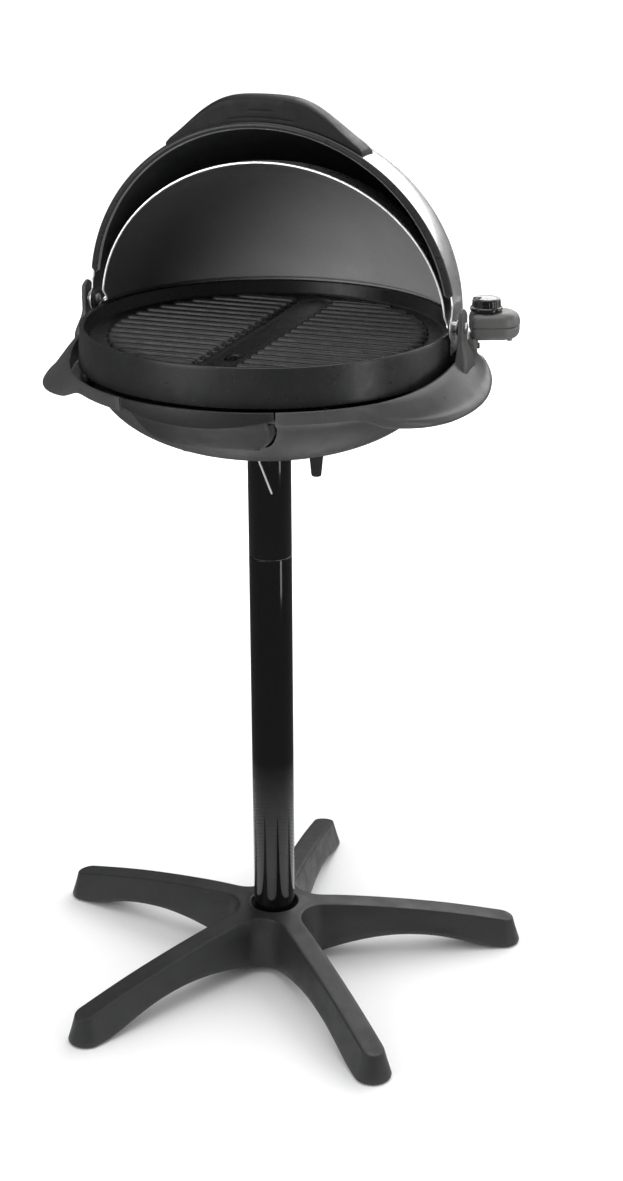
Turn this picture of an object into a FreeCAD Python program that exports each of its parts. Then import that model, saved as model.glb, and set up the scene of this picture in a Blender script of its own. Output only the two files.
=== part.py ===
import FreeCAD, Part
import math, os

# Pedestal grill with a roll-back hood.  Millimetres, +Z up, floor at z = 0,
# post axis on the origin, front of the grill towards -Y, control on the right (+X).

V = FreeCAD.Vector

# ---------------------------------------------------------------- driving dimensions
ZR = 874.0            # height of the cooking plate's rim
# star base
LEG_ANGLES = (25.4, 97.4, 169.4, 241.4, 313.4)
TIP_R = 311.0         # radius at which the rounded foot ends are centred
FOOT_R = 24.5         # radius of a foot end
HUB_TOP = 80.0
HUB_FLOOR = 18.0
# post
POST_R = 27.0
POST_WALL = 2.0
POST_SEAM = 575.0
POST_TOP = ZR - 108.0
FIT = 0.1             # radial slip fit of post in hub and socket
# bowl
BOWL_R = 210.0
BOWL_TOP = -59.5
BOWL_DEPTH = 94.0
BOWL_T = 3.0
# collar
COL_IN, COL_OUT = 237.5, 241.0
COL_FLOOR_LO, COL_FLOOR_HI = -62.0, -59.0
COL_FRONT_TOP, COL_REAR_TOP = -46.5, -24.0
# cooking plate
PLATE_R = 225.0
PLATE_SKIRT_R = 227.5
PLATE_SKIRT = -46.0
PLATE_FLOOR, PLATE_UNDER = -17.0, -24.0
RIB_PITCH, RIB_ROWS, RIB_FIELD_R = 21.56, 16, 193.0
RIB_H, RIB_BASE, RIB_TOP = 6.5, 11.0, 6.5
CHANNEL_HALF, CHANNEL_DROP = 19.0, 2.5
DRAIN_Y = -111.0
# hood
PIV_Y, PIV_Z = 5.0, 8.0          # pivot axis (along X), z from the rim
HOOD_A, HOOD_B, HOOD_T = 232.2, 225.0, 1.6   # moving hood: ellipsoid turned about the pivot, half width, radius, sheet
HOOD_A0, HOOD_A1 = 85.0, 177.5   # angles from the front horizontal at rest
REAR_A, REAR_C, REAR_T = 220.6, 186.0, 1.2   # fixed half dome: radius, height, sheet
SKIRT_R = 228.2
# drawer
TRAY_HALF = 92.6
# control
CTL_ANG = 21.0
CTL_Z = -31.0         # height of probe and cold pins
KNOB_R0 = 262.0       # radius at which the knob stands

os.makedirs("parts", exist_ok=True)


# ---------------------------------------------------------------- helpers
def poly(pts):
    return Part.makePolygon([V(*p) for p in pts] + [V(*pts[0])])


def revolve(profile, angle=360.0, start=0.0):
    """Solid of revolution about Z from (r, z) points, z measured from the floor."""
    f = Part.Face(poly([(r, 0, z) for r, z in profile]))
    s = f.revolve(V(0, 0, 0), V(0, 0, 1), angle)
    if start:
        s.rotate(V(0, 0, 0), V(0, 0, 1), start)
    return s if s.ShapeType == "Solid" else Part.Solid(s)


def up(profile, z=ZR):
    return [(r, zz + z) for r, zz in profile]


def cyl(r, h, base, axis=(0, 0, 1)):
    return Part.makeCylinder(r, h, V(*base), V(*axis))


def box(x0, x1, y0, y1, z0, z1):
    return Part.makeBox(x1 - x0, y1 - y0, z1 - z0, V(x0, y0, z0))


def fuse(items):
    s = items[0]
    if len(items) > 1:
        s = items[0].multiFuse(items[1:])
    return s.removeSplitter()


def turn(s, deg, c=(0, 0, 0), ax=(0, 0, 1)):
    s = s.copy()
    s.rotate(V(*c), V(*ax), deg)
    return s


def mirror_x(s):
    return s.mirror(V(0, 0, 0), V(1, 0, 0))


def save(name, shapes):
    if not isinstance(shapes, (list, tuple)):
        shapes = [shapes]
    out = []
    for s in shapes:
        out.extend(s.Solids)
    for s in out:
        if not s.isValid() or s.Volume <= 0:
            print("CHECK", name, s.isValid(), s.Volume)
    shape = out[0] if len(out) == 1 else Part.makeCompound(out)
    shape.exportStep("parts/%s.step" % name)
    b = shape.BoundBox
    print("%-18s solids %2d  vol %9.0f  x %.1f..%.1f y %.1f..%.1f z %.1f..%.1f" % (
        name, len(out), sum(s.Volume for s in out), b.XMin, b.XMax, b.YMin, b.YMax, b.ZMin, b.ZMax))
    return shape


# ---------------------------------------------------------------- star base
def leg_section(r, zt, zb, wt, wb, inset=0.0):
    zt -= inset
    wt, wb = wt / 2 - inset * 0.8, wb / 2 - inset
    return poly([(r, -wb, zb), (r, wb, zb), (r, wt + 4.5, zt - 7), (r, wt, zt - 1.6), (r, wt - 4, zt),
                 (r, -wt + 4, zt), (r, -wt, zt - 1.6), (r, -wt - 4.5, zt - 7)])


LEG = [  # radius, top, bottom, top width, bottom width; the underside is arched
    (21.0, 79.6, 11.0, 30.0, 61.0),
    (64.0, 78.0, 15.0, 30.0, 55.0),
    (97.0, 75.8, 22.0, 30.0, 52.0),
    (130.0, 71.8, 28.0, 29.0, 49.5),
    (165.0, 67.4, 31.0, 29.0, 48.0),
    (197.0, 62.6, 29.0, 28.5, 47.0),
    (231.0, 57.0, 22.5, 28.5, 47.0),
    (266.0, 49.8, 12.0, 28.5, 47.0),
    (290.0, 44.6, 5.0, 29.0, 48.0),
    (300.0, 42.2, 2.0, 29.0, 48.5),
]


def leg_at(r):
    for a, b in zip(LEG, LEG[1:]):
        if a[0] <= r <= b[0]:
            t = (r - a[0]) / (b[0] - a[0])
            return (r,) + tuple(a[i] + t * (b[i] - a[i]) for i in range(1, 5))


leg = Part.makeLoft([leg_section(*s) for s in LEG], True, True)
tip = revolve([(0, 2), (FOOT_R - 1, 2), (FOOT_R, 4), (FOOT_R - 5.0, 31), (FOOT_R - 7.5, 36.5), (FOOT_R - 11.5, 39.8), (0, 40.4)])
tip.translate(V(TIP_R, 0, 0))
pockets = []
for r0, r1 in ((62.0, 134.0), (139.0, 214.0), (219.0, 286.0)):
    secs = []
    for r in (r0, (r0 + r1) / 2, r1):
        s = leg_at(r)
        secs.append(leg_section(r, s[1], s[2] - 4.0, s[3], s[4], 5.0))
    pockets.append(Part.makeLoft(secs, True, True))
hub = revolve([(0, 9.4), (55, 9.4), (57, 11.4), (50.5, 73), (49, 78), (46.5, HUB_TOP), (0, HUB_TOP)])
solids = [hub]
cuts = []
glides = []
for a in LEG_ANGLES:
    solids += [turn(leg, a), turn(tip, a)]
    cuts += [turn(k, a) for k in pockets]
    c = (TIP_R * math.cos(math.radians(a)), TIP_R * math.sin(math.radians(a)))
    cuts.append(cyl(18.2, 8.2, (c[0], c[1], 0)))
    cuts.append(cyl(4.05, 14, (c[0], c[1], 8)))
    g = revolve([(0, 0), (16.5, 0), (18, 1.5), (18, 8), (4, 8), (4, 20), (0, 20)])
    g.translate(V(c[0], c[1], 0))
    glides.append(g)
cuts.append(cyl(POST_R + FIT, 80, (0, 0, HUB_FLOOR)))
cuts.append(cyl(5.6, 20, (0, 0, 2)))
star = hub
for part_solid in solids[1:]:
    star = star.fuse(part_solid)
for tool in cuts:
    star = star.cut(tool)
star = star.removeSplitter()
save("star_base", star)
save("base_glides", glides)

# ---------------------------------------------------------------- post
save("lower_post", revolve([(POST_R - POST_WALL, HUB_FLOOR + 0.3), (POST_R, HUB_FLOOR + 0.3),
                            (POST_R, POST_SEAM - 0.8), (POST_R - 0.5, POST_SEAM - 0.3), (POST_R - POST_WALL, POST_SEAM - 0.3)]))
save("upper_post", revolve([(POST_R - POST_WALL, POST_SEAM + 0.3), (POST_R - 0.5, POST_SEAM + 0.3), (POST_R, POST_SEAM + 0.8),
                            (POST_R, POST_TOP), (POST_R - POST_WALL, POST_TOP)]))
ji = POST_R - POST_WALL - 0.05
save("post_joiner", revolve([(ji - 2, POST_SEAM - 60), (ji, POST_SEAM - 60), (ji, POST_SEAM - 0.25), (POST_R - 1.0, POST_SEAM - 0.25),
                             (POST_R - 1.0, POST_SEAM + 0.25), (ji, POST_SEAM + 0.25), (ji, POST_SEAM + 60), (ji - 2, POST_SEAM + 60)]))
save("post_plug", revolve([(5.05, HUB_FLOOR + 0.3), (ji, HUB_FLOOR + 0.3), (ji, 40), (5.05, 40)]))
hexa = Part.Face(poly([(9.6 * math.cos(math.radians(60 * i)), 9.6 * math.sin(math.radians(60 * i)), 1.2) for i in range(6)])).extrude(V(0, 0, 6.2))
save("hub_bolt", fuse([hexa, cyl(5.0, 34, (0, 0, 7.0))]))
save("hub_washer", revolve([(5.3, 7.45), (15, 7.45), (15, 9.35), (5.3, 9.35)]))

# ---------------------------------------------------------------- bowl
def bowl_pt(t, off=0.0):
    c, s = math.cos(t), math.sin(t)
    r = BOWL_R * c ** 0.8
    z = BOWL_TOP - BOWL_DEPTH * s ** 1.13
    e = 1e-3
    c2, s2 = math.cos(t + e), math.sin(t + e)
    dr = BOWL_R * c2 ** 0.8 - r
    dz = BOWL_TOP - BOWL_DEPTH * s2 ** 1.13 - z
    n = math.hypot(dr, dz)
    return (r + off * dz / n, z - off * dr / n)


ts = [math.radians(a) for a in (3, 6, 10, 14, 18, 22, 26, 30, 34, 38, 42, 46, 50, 54, 58, 62, 66, 70, 74, 77, 80.0, 82.5)]
outer = [bowl_pt(t) for t in ts]
inner = [bowl_pt(t, BOWL_T) for t in ts]
SOCKET_HOLE = 36.0
BOWL_LIP = COL_FLOOR_LO - 0.1
outer = [(BOWL_R, BOWL_LIP)] + outer[1:] + [(SOCKET_HOLE, outer[-1][1] - 0.3)]
inner = [p for p in inner[1:] if p[1] < BOWL_LIP - 5.0] + [(SOCKET_HOLE, outer[-1][1] + BOWL_T)]
BOWL_FLOOR = outer[-1][1] + BOWL_T
FLANGE_R = 191.0
# wall between an outer and an inner curve, with a turned-in flange at the top that the screws pass through
bowl = revolve(up(outer + inner[::-1] + [(inner[0][0] + 0.8, BOWL_LIP - 4.5), (FLANGE_R, BOWL_LIP - 4.0), (FLANGE_R, BOWL_LIP)]))
# mouth for the drawer, at the front
bowl = bowl.cut(box(-92.2, 92.2, -260, -110, ZR - 98.5, ZR - 55))
bowl = bowl.cut(box(-97.2, 97.2, -260, -110, ZR - 70.5, ZR - 55))
SCREW_A = (50, 130, 230, 310)
for a in SCREW_A:
    c = (198.5 * math.cos(math.radians(a)), 198.5 * math.sin(math.radians(a)))
    bowl = bowl.cut(cyl(2.6, 12, (c[0], c[1], ZR - 72)))
# sockets for the feet and the wire
FEET = [(103.0, -36.0), (103.0, 77.0), (103.0, 190.0)]
for r, a in FEET:
    c = (r * math.cos(math.radians(a)), r * math.sin(math.radians(a)))
    bowl = bowl.cut(cyl(3.05, 40, (c[0], c[1], ZR - 160)))
bowl = bowl.cut(cyl(1.25, 30, (15.0, -72.0, ZR - 165)))
SOCK_SCREWS = [45, 135, 225, 315]
for a in SOCK_SCREWS:
    c = (52 * math.cos(math.radians(a)), 52 * math.sin(math.radians(a)))
    bowl = bowl.cut(cyl(2.6, 30, (c[0], c[1], ZR - 165)))
save("bowl", bowl.removeSplitter())

foot_list = []
for r, a in FEET:
    c = (r * math.cos(math.radians(a)), r * math.sin(math.radians(a)))
    f = revolve([(0, -169.0), (5.6, -169.0), (6.6, -167.6), (8.0, -148.0), (8.0, -128.0), (0, -128.0)])
    f.translate(V(c[0], c[1], ZR))
    skin = [bowl_pt(t, -0.15) for t in ts]
    out_body = revolve(up([(0, skin[0][1])] + skin + [(0, skin[-1][1])]))
    f = f.cut(out_body)
    f = max(f.Solids, key=lambda s: s.Volume)
    stud = cyl(3.0, 22.0, (c[0], c[1], ZR - 160.0))
    foot_list.append(fuse([f, stud]))
save("table_feet", foot_list)

# thin wire under the bowl in front of the post
w = [(15.0, -72.0, -147.0), (15.0, -72.0, -155.0), (33.5, -79.5, -191.0)]
wire = []
for a, b in zip(w, w[1:]):
    d = V(b[0] - a[0], b[1] - a[1], b[2] - a[2])
    wire.append(Part.makeCylinder(1.15, d.Length, V(a[0], a[1], a[2] + ZR), d))
wire.append(Part.makeSphere(1.15, V(w[1][0], w[1][1], w[1][2] + ZR)))
wire.append(cyl(2.6, 1.2, (15.0, -72.0, ZR - 145.6)))
wire.append(cyl(1.15, 4.0, (15.0, -72.0, ZR - 148.5)))
save("post_wire", fuse(wire))

# ---------------------------------------------------------------- post socket
# height of the bowl's inner face where the socket's flange rests on it
SEAT = max(z for r, z in inner if r <= 68.0) + 0.1
sock = revolve(up([(POST_R + FIT, -166.0), (33.0, -166.0), (34.0, -165.0), (34.0, SEAT), (62.0, SEAT), (62.0, SEAT + 3.8),
                   (36.0, SEAT + 3.8), (32.0, SEAT + 8.0), (32.0, -103.0), (0, -103.0), (0, -107.7), (POST_R + FIT, -107.7)]))
sock_screws = []
sock_cuts = []
for a in SOCK_SCREWS:
    c = (52 * math.cos(math.radians(a)), 52 * math.sin(math.radians(a)))
    sock_cuts.append(cyl(2.1, 14, (c[0], c[1], ZR + BOWL_FLOOR - 2)))
    sock_screws.append(fuse([cyl(2.05, 12, (c[0], c[1], ZR + BOWL_FLOOR - 5.5)),
                             revolve([(0, -2.4), (3.2, -2.4), (4.4, -1.2), (4.4, 0), (0, 0)]).translated(V(c[0], c[1], ZR + BOWL_FLOOR - 4.2))]))
sock = sock.cut(sock_cuts[0].multiFuse(sock_cuts[1:]))
save("post_socket", sock)
save("socket_screws", sock_screws)

# ---------------------------------------------------------------- collar with wings and ears
# wing: angle from the front, outer radius, height of the outer roll, height of the inner top edge
WING = [
    (52, 240.4, -62.0, -46.5), (57, 254.0, -69.0, -45.0), (62, 267.0, -73.0, -43.5), (68, 273.0, -74.5, -41.0), (76, 274.5, -74.0, -36.0),
    (84, 274.5, -72.0, -30.0), (90, 274.0, -69.0, -26.5), (96, 272.5, -64.0, -24.0), (102, 269.5, -57.5, -24.0), (108, 262.5, -48.0, -24.0),
    (113, 252.5, -40.0, -24.0), (118, 240.4, -36.0, -24.0)]
SHAPE_R = (238.6, 241.5, 248.0, 257.0, 265.5, 271.0, 274.0, 272.0, 265.0, 249.0, 238.6)


def wing_section(a, ro, zo, zi):
    k = (ro - 238.6) / (274.0 - 238.6)
    rs = [238.6 + (q - 238.6) * k for q in SHAPE_R]
    d = zi - (zo + 4.0)
    # inner edge, convex top, rounded lip, underside and inner foot
    zs = [zi, zi - 0.03 * d, zi - 0.22 * d, zi - 0.56 * d, zi - 0.90 * d, zo + 2.2, zo - 3.0, zo - 9.5, zo - 10.0, zo - 6.0, -60.5]
    t = math.radians(a)
    return poly([(r * math.sin(t), -r * math.cos(t), z + ZR) for r, z in zip(rs, zs)])


wing = Part.makeLoft([wing_section(*s) for s in WING], True, True)
ring = revolve(up([(COL_IN, COL_FRONT_TOP), (COL_OUT, COL_FRONT_TOP), (COL_OUT, COL_FLOOR_LO), (205.0, COL_FLOOR_LO), (205.0, COL_FLOOR_HI), (COL_IN, COL_FLOOR_HI)]))
# the rear wall stands higher, from behind one ear round to the other
rear_wall = revolve(up([(COL_IN, COL_REAR_TOP), (COL_OUT, COL_REAR_TOP), (COL_OUT, COL_FLOOR_LO + 1), (COL_IN, COL_FLOOR_LO + 1)]), 180 - 2 * 6.0, 6.0)
# ear: upright lug whose round top stands above the pivot
ear_face = Part.Face(Part.Wire([
    Part.LineSegment(V(236.0, PIV_Y - 19, ZR - 57), V(236.0, PIV_Y - 11.5, ZR + 20)).toShape(),
    Part.Arc(V(236.0, PIV_Y - 11.5, ZR + 20), V(236.0, PIV_Y, ZR + 31.5), V(236.0, PIV_Y + 11.5, ZR + 20)).toShape(),
    Part.LineSegment(V(236.0, PIV_Y + 11.5, ZR + 20), V(236.0, PIV_Y + 19, ZR - 57)).toShape(),
    Part.LineSegment(V(236.0, PIV_Y + 19, ZR - 57), V(236.0, PIV_Y - 19, ZR - 57)).toShape()]))
ear = ear_face.extrude(V(12.0, 0, 0))
collar = fuse([ring, rear_wall, wing, mirror_x(wing), ear, mirror_x(ear)])
# pin holes in the ears
for sx in (1, -1):
    collar = collar.cut(cyl(4.0, 30, (sx * 225.0, PIV_Y, ZR + PIV_Z), (sx, 0, 0)))
# gap for the drawer's front, at the outside of the ring only
gap = box(-TRAY_HALF - 0.8, TRAY_HALF + 0.8, -260, -150, ZR - 70, ZR - 40).cut(cyl(229.0, 60, (0, 0, ZR - 80)))
collar = collar.cut(gap)
# recess that the control's neck passes through
notch = box(229.0, 290.0, -23.0, 23.0, ZR - 45.0, ZR + 20.0)
collar = collar.cut(turn(notch, CTL_ANG))
for a in SCREW_A:
    c = (198.5 * math.cos(math.radians(a)), 198.5 * math.sin(math.radians(a)))
    lug = revolve(up([(193.0, COL_FLOOR_LO), (206.0, COL_FLOOR_LO), (206.0, COL_FLOOR_HI), (193.0, COL_FLOOR_HI)]), 5.0, a - 2.5)
    collar = collar.fuse(lug)
for a in SCREW_A:
    c = (198.5 * math.cos(math.radians(a)), 198.5 * math.sin(math.radians(a)))
    collar = collar.cut(cyl(2.1, 20, (c[0], c[1], ZR - 70)))
save("collar", collar.removeSplitter())
cs = []
for a in SCREW_A:
    c = (198.5 * math.cos(math.radians(a)), 198.5 * math.sin(math.radians(a)))
    cs.append(fuse([cyl(2.05, 11.0, (c[0], c[1], ZR - 69.0)), cyl(4.2, 2.6, (c[0], c[1], ZR - 66.5 - 2.6))]))
collar_screws = cs

# ---------------------------------------------------------------- cooking plate
plate = revolve(up([(0, PLATE_FLOOR), (208.0, PLATE_FLOOR), (212.0, PLATE_FLOOR + 1.0), (214.5, PLATE_FLOOR + 3.5), (218.8, -2.2), (220.0, -0.7), (222.0, 0.0), (223.6, -0.4), (224.7, -1.6),
                    (PLATE_R, -4.0), (PLATE_SKIRT_R, PLATE_SKIRT), (PLATE_SKIRT_R - 5.5, PLATE_SKIRT), (PLATE_SKIRT_R - 7.0, -30.0), (212.0, PLATE_UNDER), (0, PLATE_UNDER)]))
ribs = []
for k in range(RIB_ROWS):
    y = (k - (RIB_ROWS - 1) / 2.0) * RIB_PITCH
    b, t, h = RIB_BASE / 2, RIB_TOP / 2, RIB_H
    sec = poly([(-200, y - b, PLATE_FLOOR - 0.5 + ZR), (-200, y - b, PLATE_FLOOR + ZR), (-200, y - t, PLATE_FLOOR + h - 1.2 + ZR), (-200, y - t + 1.5, PLATE_FLOOR + h + ZR),
                (-200, y + t - 1.5, PLATE_FLOOR + h + ZR), (-200, y + t, PLATE_FLOOR + h - 1.2 + ZR), (-200, y + b, PLATE_FLOOR + ZR), (-200, y + b, PLATE_FLOOR - 0.5 + ZR)])
    bar = Part.Face(sec).extrude(V(400, 0, 0))
    # the row is cut at the moat and at the middle channel, with sloping ends
    hx = math.sqrt(RIB_FIELD_R ** 2 - y * y)
    for sx in (-1, 1):
        x0, x1 = sorted((sx * (CHANNEL_HALF + 4.0), sx * hx))
        keep = Part.Face(poly([(x0, -300, PLATE_FLOOR - 1 + ZR), (x1, -300, PLATE_FLOOR - 1 + ZR), (x1, -300, PLATE_FLOOR + 1 + ZR), (x1 - 4.0, -300, PLATE_FLOOR + 8 + ZR),
                               (x0 + 4.0, -300, PLATE_FLOOR + 8 + ZR), (x0, -300, PLATE_FLOOR + 1 + ZR)])).extrude(V(0, 600, 0))
        ribs.append(bar.common(keep))
plate = fuse([plate] + ribs)
chan = box(-CHANNEL_HALF, CHANNEL_HALF, -176, 176, ZR + PLATE_FLOOR - CHANNEL_DROP, ZR + PLATE_FLOOR + 1).fuse(
    [cyl(CHANNEL_HALF, CHANNEL_DROP + 1, (0, s * 176, ZR + PLATE_FLOOR - CHANNEL_DROP)) for s in (-1, 1)])
plate = plate.cut(chan)
# drain slot with its spout underneath
spout = cyl(18.0, 62.0 + PLATE_UNDER + 0.5, (0, DRAIN_Y, ZR - 62.0))
slot_wire = Part.Wire([
    Part.LineSegment(V(-6, DRAIN_Y - 8, ZR - 30), V(-6, DRAIN_Y + 8, ZR - 30)).toShape(),
    Part.Arc(V(-6, DRAIN_Y + 8, ZR - 30), V(0, DRAIN_Y + 14, ZR - 30), V(6, DRAIN_Y + 8, ZR - 30)).toShape(),
    Part.LineSegment(V(6, DRAIN_Y + 8, ZR - 30), V(6, DRAIN_Y - 8, ZR - 30)).toShape(),
    Part.Arc(V(6, DRAIN_Y - 8, ZR - 30), V(0, DRAIN_Y - 14, ZR - 30), V(-6, DRAIN_Y - 8, ZR - 30)).toShape()])
slot = Part.Face(slot_wire).extrude(V(0, 0, 30))
plate = plate.fuse(spout).cut(slot).cut(cyl(16.0, 64.0 + PLATE_UNDER - 0.8, (0, DRAIN_Y, ZR - 64.0)))
# opening in the skirt for the probe and cold pins
port = box(205.0, 240.0, -19.0, 19.0, ZR - 50.0, ZR - 25.5)
plate = plate.cut(turn(port, CTL_ANG))
save("grill_plate", plate.removeSplitter())

spacers = []
for a in (100, 220, 340):
    c = (224.6 * math.cos(math.radians(a)), 224.6 * math.sin(math.radians(a)))
    spacers.append(cyl(4.5, -COL_FLOOR_HI + PLATE_SKIRT - 0.0, (c[0], c[1], ZR + COL_FLOOR_HI)))
save("plate_spacers", spacers)

refl = revolve(up([(0, -50.0), (150, -50.0), (172, -57.0), (214.0, -57.0), (214.0, -58.0), (171.6, -58.0), (149.6, -51.0), (0, -51.0)]))
refl = refl.cut(cyl(20.5, 40, (0, DRAIN_Y, ZR - 75)))
for a in SCREW_A:
    c = (198.5 * math.cos(math.radians(a)), 198.5 * math.sin(math.radians(a)))
    refl = refl.cut(cyl(3.2, 20, (c[0], c[1], ZR - 68)))
save("heat_reflector", refl)
save("collar_screws", collar_screws)

# ---------------------------------------------------------------- heating element, along +X before turning to the control
LOOP_R, EL_R = 150.0, 3.3
half = math.degrees(math.asin(11.0 / LOOP_R))
disc = Part.Face(Part.Wire(Part.makeCircle(EL_R, V(LOOP_R, 0, ZR + CTL_Z), V(0, 1, 0))))
loop = disc.revolve(V(0, 0, 0), V(0, 0, 1), 360 - 2 * half)
loop = turn(loop if loop.ShapeType == "Solid" else Part.Solid(loop), half)
el = [loop]
x0 = LOOP_R * math.cos(math.radians(half))
for s in (-1, 1):
    el.append(cyl(EL_R, 222.0 - x0, (x0, s * 11.0, ZR + CTL_Z), (1, 0, 0)))
    el.append(Part.makeSphere(EL_R, V(x0, s * 11.0, ZR + CTL_Z)))
    el.append(cyl(2.4, 26.0, (221.0, s * 11.0, ZR + CTL_Z), (1, 0, 0)))
save("heating_element", turn(fuse(el), CTL_ANG))
clips = []
for a in (95, 180, 325):
    b = box(143.0, 157.0, -6.0, 6.0, ZR - 36.0, ZR + PLATE_UNDER - 0.1)
    ring_cut = Part.makeTorus(LOOP_R, EL_R + 0.05, V(0, 0, ZR + CTL_Z))
    b = turn(b, a).cut(ring_cut)
    clips.append(b)
save("element_clips", clips)

# ---------------------------------------------------------------- drawer
def shell_tray(hx, y0, y1, z0, z1, t, taper):
    def solid(hx, y0, y1, z0, z1, tp):
        a = poly([(-hx + tp, y0 + tp, z0), (hx - tp, y0 + tp, z0), (hx - tp, y1 - tp, z0), (-hx + tp, y1 - tp, z0)])
        b = poly([(-hx, y0, z1), (hx, y0, z1), (hx, y1, z1), (-hx, y1, z1)])
        return Part.makeLoft([a, b], True, True)
    return solid(hx, y0, y1, z0, z1, taper).cut(solid(hx - t, y0 + t, y1 - t, z0 + t, z1 + 0.0, taper))


pan = shell_tray(82.0, -214.0, -38.0, ZR - 96.0, ZR - 65.0, 1.6, 9.0)
for s in (-1, 1):
    pan = pan.fuse(box(min(s * 81.0, s * 90.4), max(s * 81.0, s * 90.4), -196.0, -38.0, ZR - 66.2, ZR - 65.0))
save("drip_tray", pan.removeSplitter())
rails = []
for s in (-1, 1):
    r = box(84.5, 93.0, -165.0, -40.0, ZR - 69.0, ZR - 66.6).fuse(box(91.0, 93.0, -165.0, -40.0, ZR - 69.0, ZR - 62.1))
    r = r.fuse(box(91.0, 93.0, -165.0, -40.0, ZR - 69.0, ZR - 62.1)).removeSplitter()
    # feet of the rail reach the ring of the collar
    r = r.fuse(box(91.0, 96.0, -200.0, -160.0, ZR - 64.2, ZR - 62.1)).removeSplitter()
    rails.append(r if s > 0 else mirror_x(r))
save("tray_rails", rails)
FA = math.degrees(math.asin(TRAY_HALF / COL_OUT))
lip = revolve(up([(237.6, -46.5), (240.4, -46.5), (241.2, -47.3), (241.6, -58.0), (240.6, -61.0), (237.6, -61.0)]), 2 * FA, 270 - FA)
basin = revolve(up([(237.7, -58.0), (237.7, -60.0), (234.5, -72.0), (226.0, -86.0), (213.0, -95.5), (211.0, -93.0), (223.5, -84.5), (231.5, -71.0), (234.0, -60.0), (234.0, -58.0)]), 2 * FA - 3.0, 270 - FA + 1.5)
sides = []
for s in (-1, 1):
    prof = up([(237.6, -60.0), (234.5, -72.0), (226.0, -86.0), (213.0, -95.5), (213.5, -63.0), (230.5, -62.6), (232.5, -60.0)])
    sides.append(revolve(prof, 0.9, 270 + s * (FA - 1.95) - 0.45))
front = fuse([lip, basin] + sides)
# ledge that the pan hangs on
front = front.fuse(revolve(up([(216.2, -66.0), (233.2, -66.0), (234.0, -64.0), (216.2, -64.0)]), 2 * FA - 3.0, 270 - FA + 1.5))
front = front.cut(box(-83.0, 83.0, -214.6, -30.0, ZR - 100, ZR - 55))
front = front.removeSplitter()
save("drip_tray_front", max(front.Solids, key=lambda q: q.Volume))

# ---------------------------------------------------------------- fixed half dome
def ellipse_edge(a, c, z_low):
    """Quarter of an ellipse from height z_low up to the axis."""
    n = 14
    t0 = math.asin(z_low / c)
    pts = [V(a * math.cos(t0 + (math.pi / 2 - t0) * i / n), 0, ZR + c * math.sin(t0 + (math.pi / 2 - t0) * i / n)) for i in range(n + 1)]
    k = Part.BSplineCurve()
    k.interpolate(pts)
    return k.toShape(), pts


eo, po = ellipse_edge(REAR_A, REAR_C, 7.0)
ei, pi_ = ellipse_edge(REAR_A - REAR_T, REAR_C - REAR_T, 7.0)
chain = [po[0], V(po[0].x, 0, ZR + 4.4), V(SKIRT_R, 0, ZR + 4.4), V(SKIRT_R, 0, ZR - 25.0), V(SKIRT_R - REAR_T, 0, ZR - 25.0), V(SKIRT_R - REAR_T, 0, ZR + 3.2),
         V(pi_[0].x, 0, ZR + 3.2), pi_[0]]
edges = [eo, ei] + [Part.LineSegment(a, b).toShape() for a, b in zip(chain, chain[1:])] + [Part.LineSegment(po[-1], pi_[-1]).toShape()]
rear = Part.Face(Part.Wire(Part.__sortEdges__(edges))).revolve(V(0, 0, 0), V(0, 0, 1), 360)
rear = rear if rear.ShapeType == "Solid" else Part.Solid(rear)
rear = rear.common(box(-260, 260, PIV_Y, 260, ZR - 60, ZR + 260))
for sx in (1, -1):
    rear = rear.cut(cyl(10.0, 30, (sx * 216.0, PIV_Y, ZR + PIV_Z), (sx, 0, 0)))
save("rear_hood", max(rear.Solids, key=lambda q: q.Volume))
tabs = []
for a in (40.0, 90.0, 140.0):
    tabs.append(revolve(up([(SKIRT_R + 0.05, COL_FLOOR_HI), (COL_IN - 0.05, COL_FLOOR_HI), (COL_IN - 0.05, -30.0), (SKIRT_R + 2.0, -12.0), (SKIRT_R + 0.05, -12.0)]), 6.0, a - 3.0))
save("hood_brackets", tabs)

# ---------------------------------------------------------------- moving hood, a lune of a sphere about the pivot axis
C = V(0, PIV_Y, ZR + PIV_Z)


def half_ellipse(a, b, rho):
    """Points of the ellipse from one side to the other, above the given distance from the axis, as (x, distance)."""
    t0 = math.asin(rho / b)
    n = 36
    return [(a * math.cos(t0 + (math.pi - 2 * t0) * i / n), b * math.sin(t0 + (math.pi - 2 * t0) * i / n)) for i in range(n + 1)]


def P(x, q):
    # drawn in the half plane towards the front, turned up to its angle afterwards
    return V(x, PIV_Y - q, ZR + PIV_Z)


def spline(pts):
    k = Part.BSplineCurve()
    k.interpolate([P(*q) for q in pts])
    return k.toShape()


def lune_profile(rho):
    po, pi2 = half_ellipse(HOOD_A, HOOD_B, rho), half_ellipse(HOOD_A - HOOD_T, HOOD_B - HOOD_T, rho)
    xo, xi = po[0][0], pi2[0][0]
    def line(a, b):
        return Part.LineSegment(P(*a), P(*b)).toShape()
    e = [spline(po), line((-xo, rho), (-xo, 3.0)), line((-xo, 3.0), (-xi, 3.0)), line((-xi, 3.0), (-xi, rho)),
         spline(pi2), line((xi, rho), (xi, 3.0)), line((xi, 3.0), (xo, 3.0)), line((xo, 3.0), (xo, rho))]
    return Part.Face(Part.Wire(Part.__sortEdges__(e))), xo, xi


def ellipsoid(a, b):
    """Solid ellipsoid about the pivot axis."""
    pts = half_ellipse(a, b, 0.0)
    f = Part.Face(Part.Wire([spline(pts), Part.LineSegment(P(*pts[-1]), P(*pts[0])).toShape()]))
    s = f.revolve(C, V(1, 0, 0), 360)
    return s if s.ShapeType == "Solid" else Part.Solid(s)


face, XO, XI = lune_profile(28.0)
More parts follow.
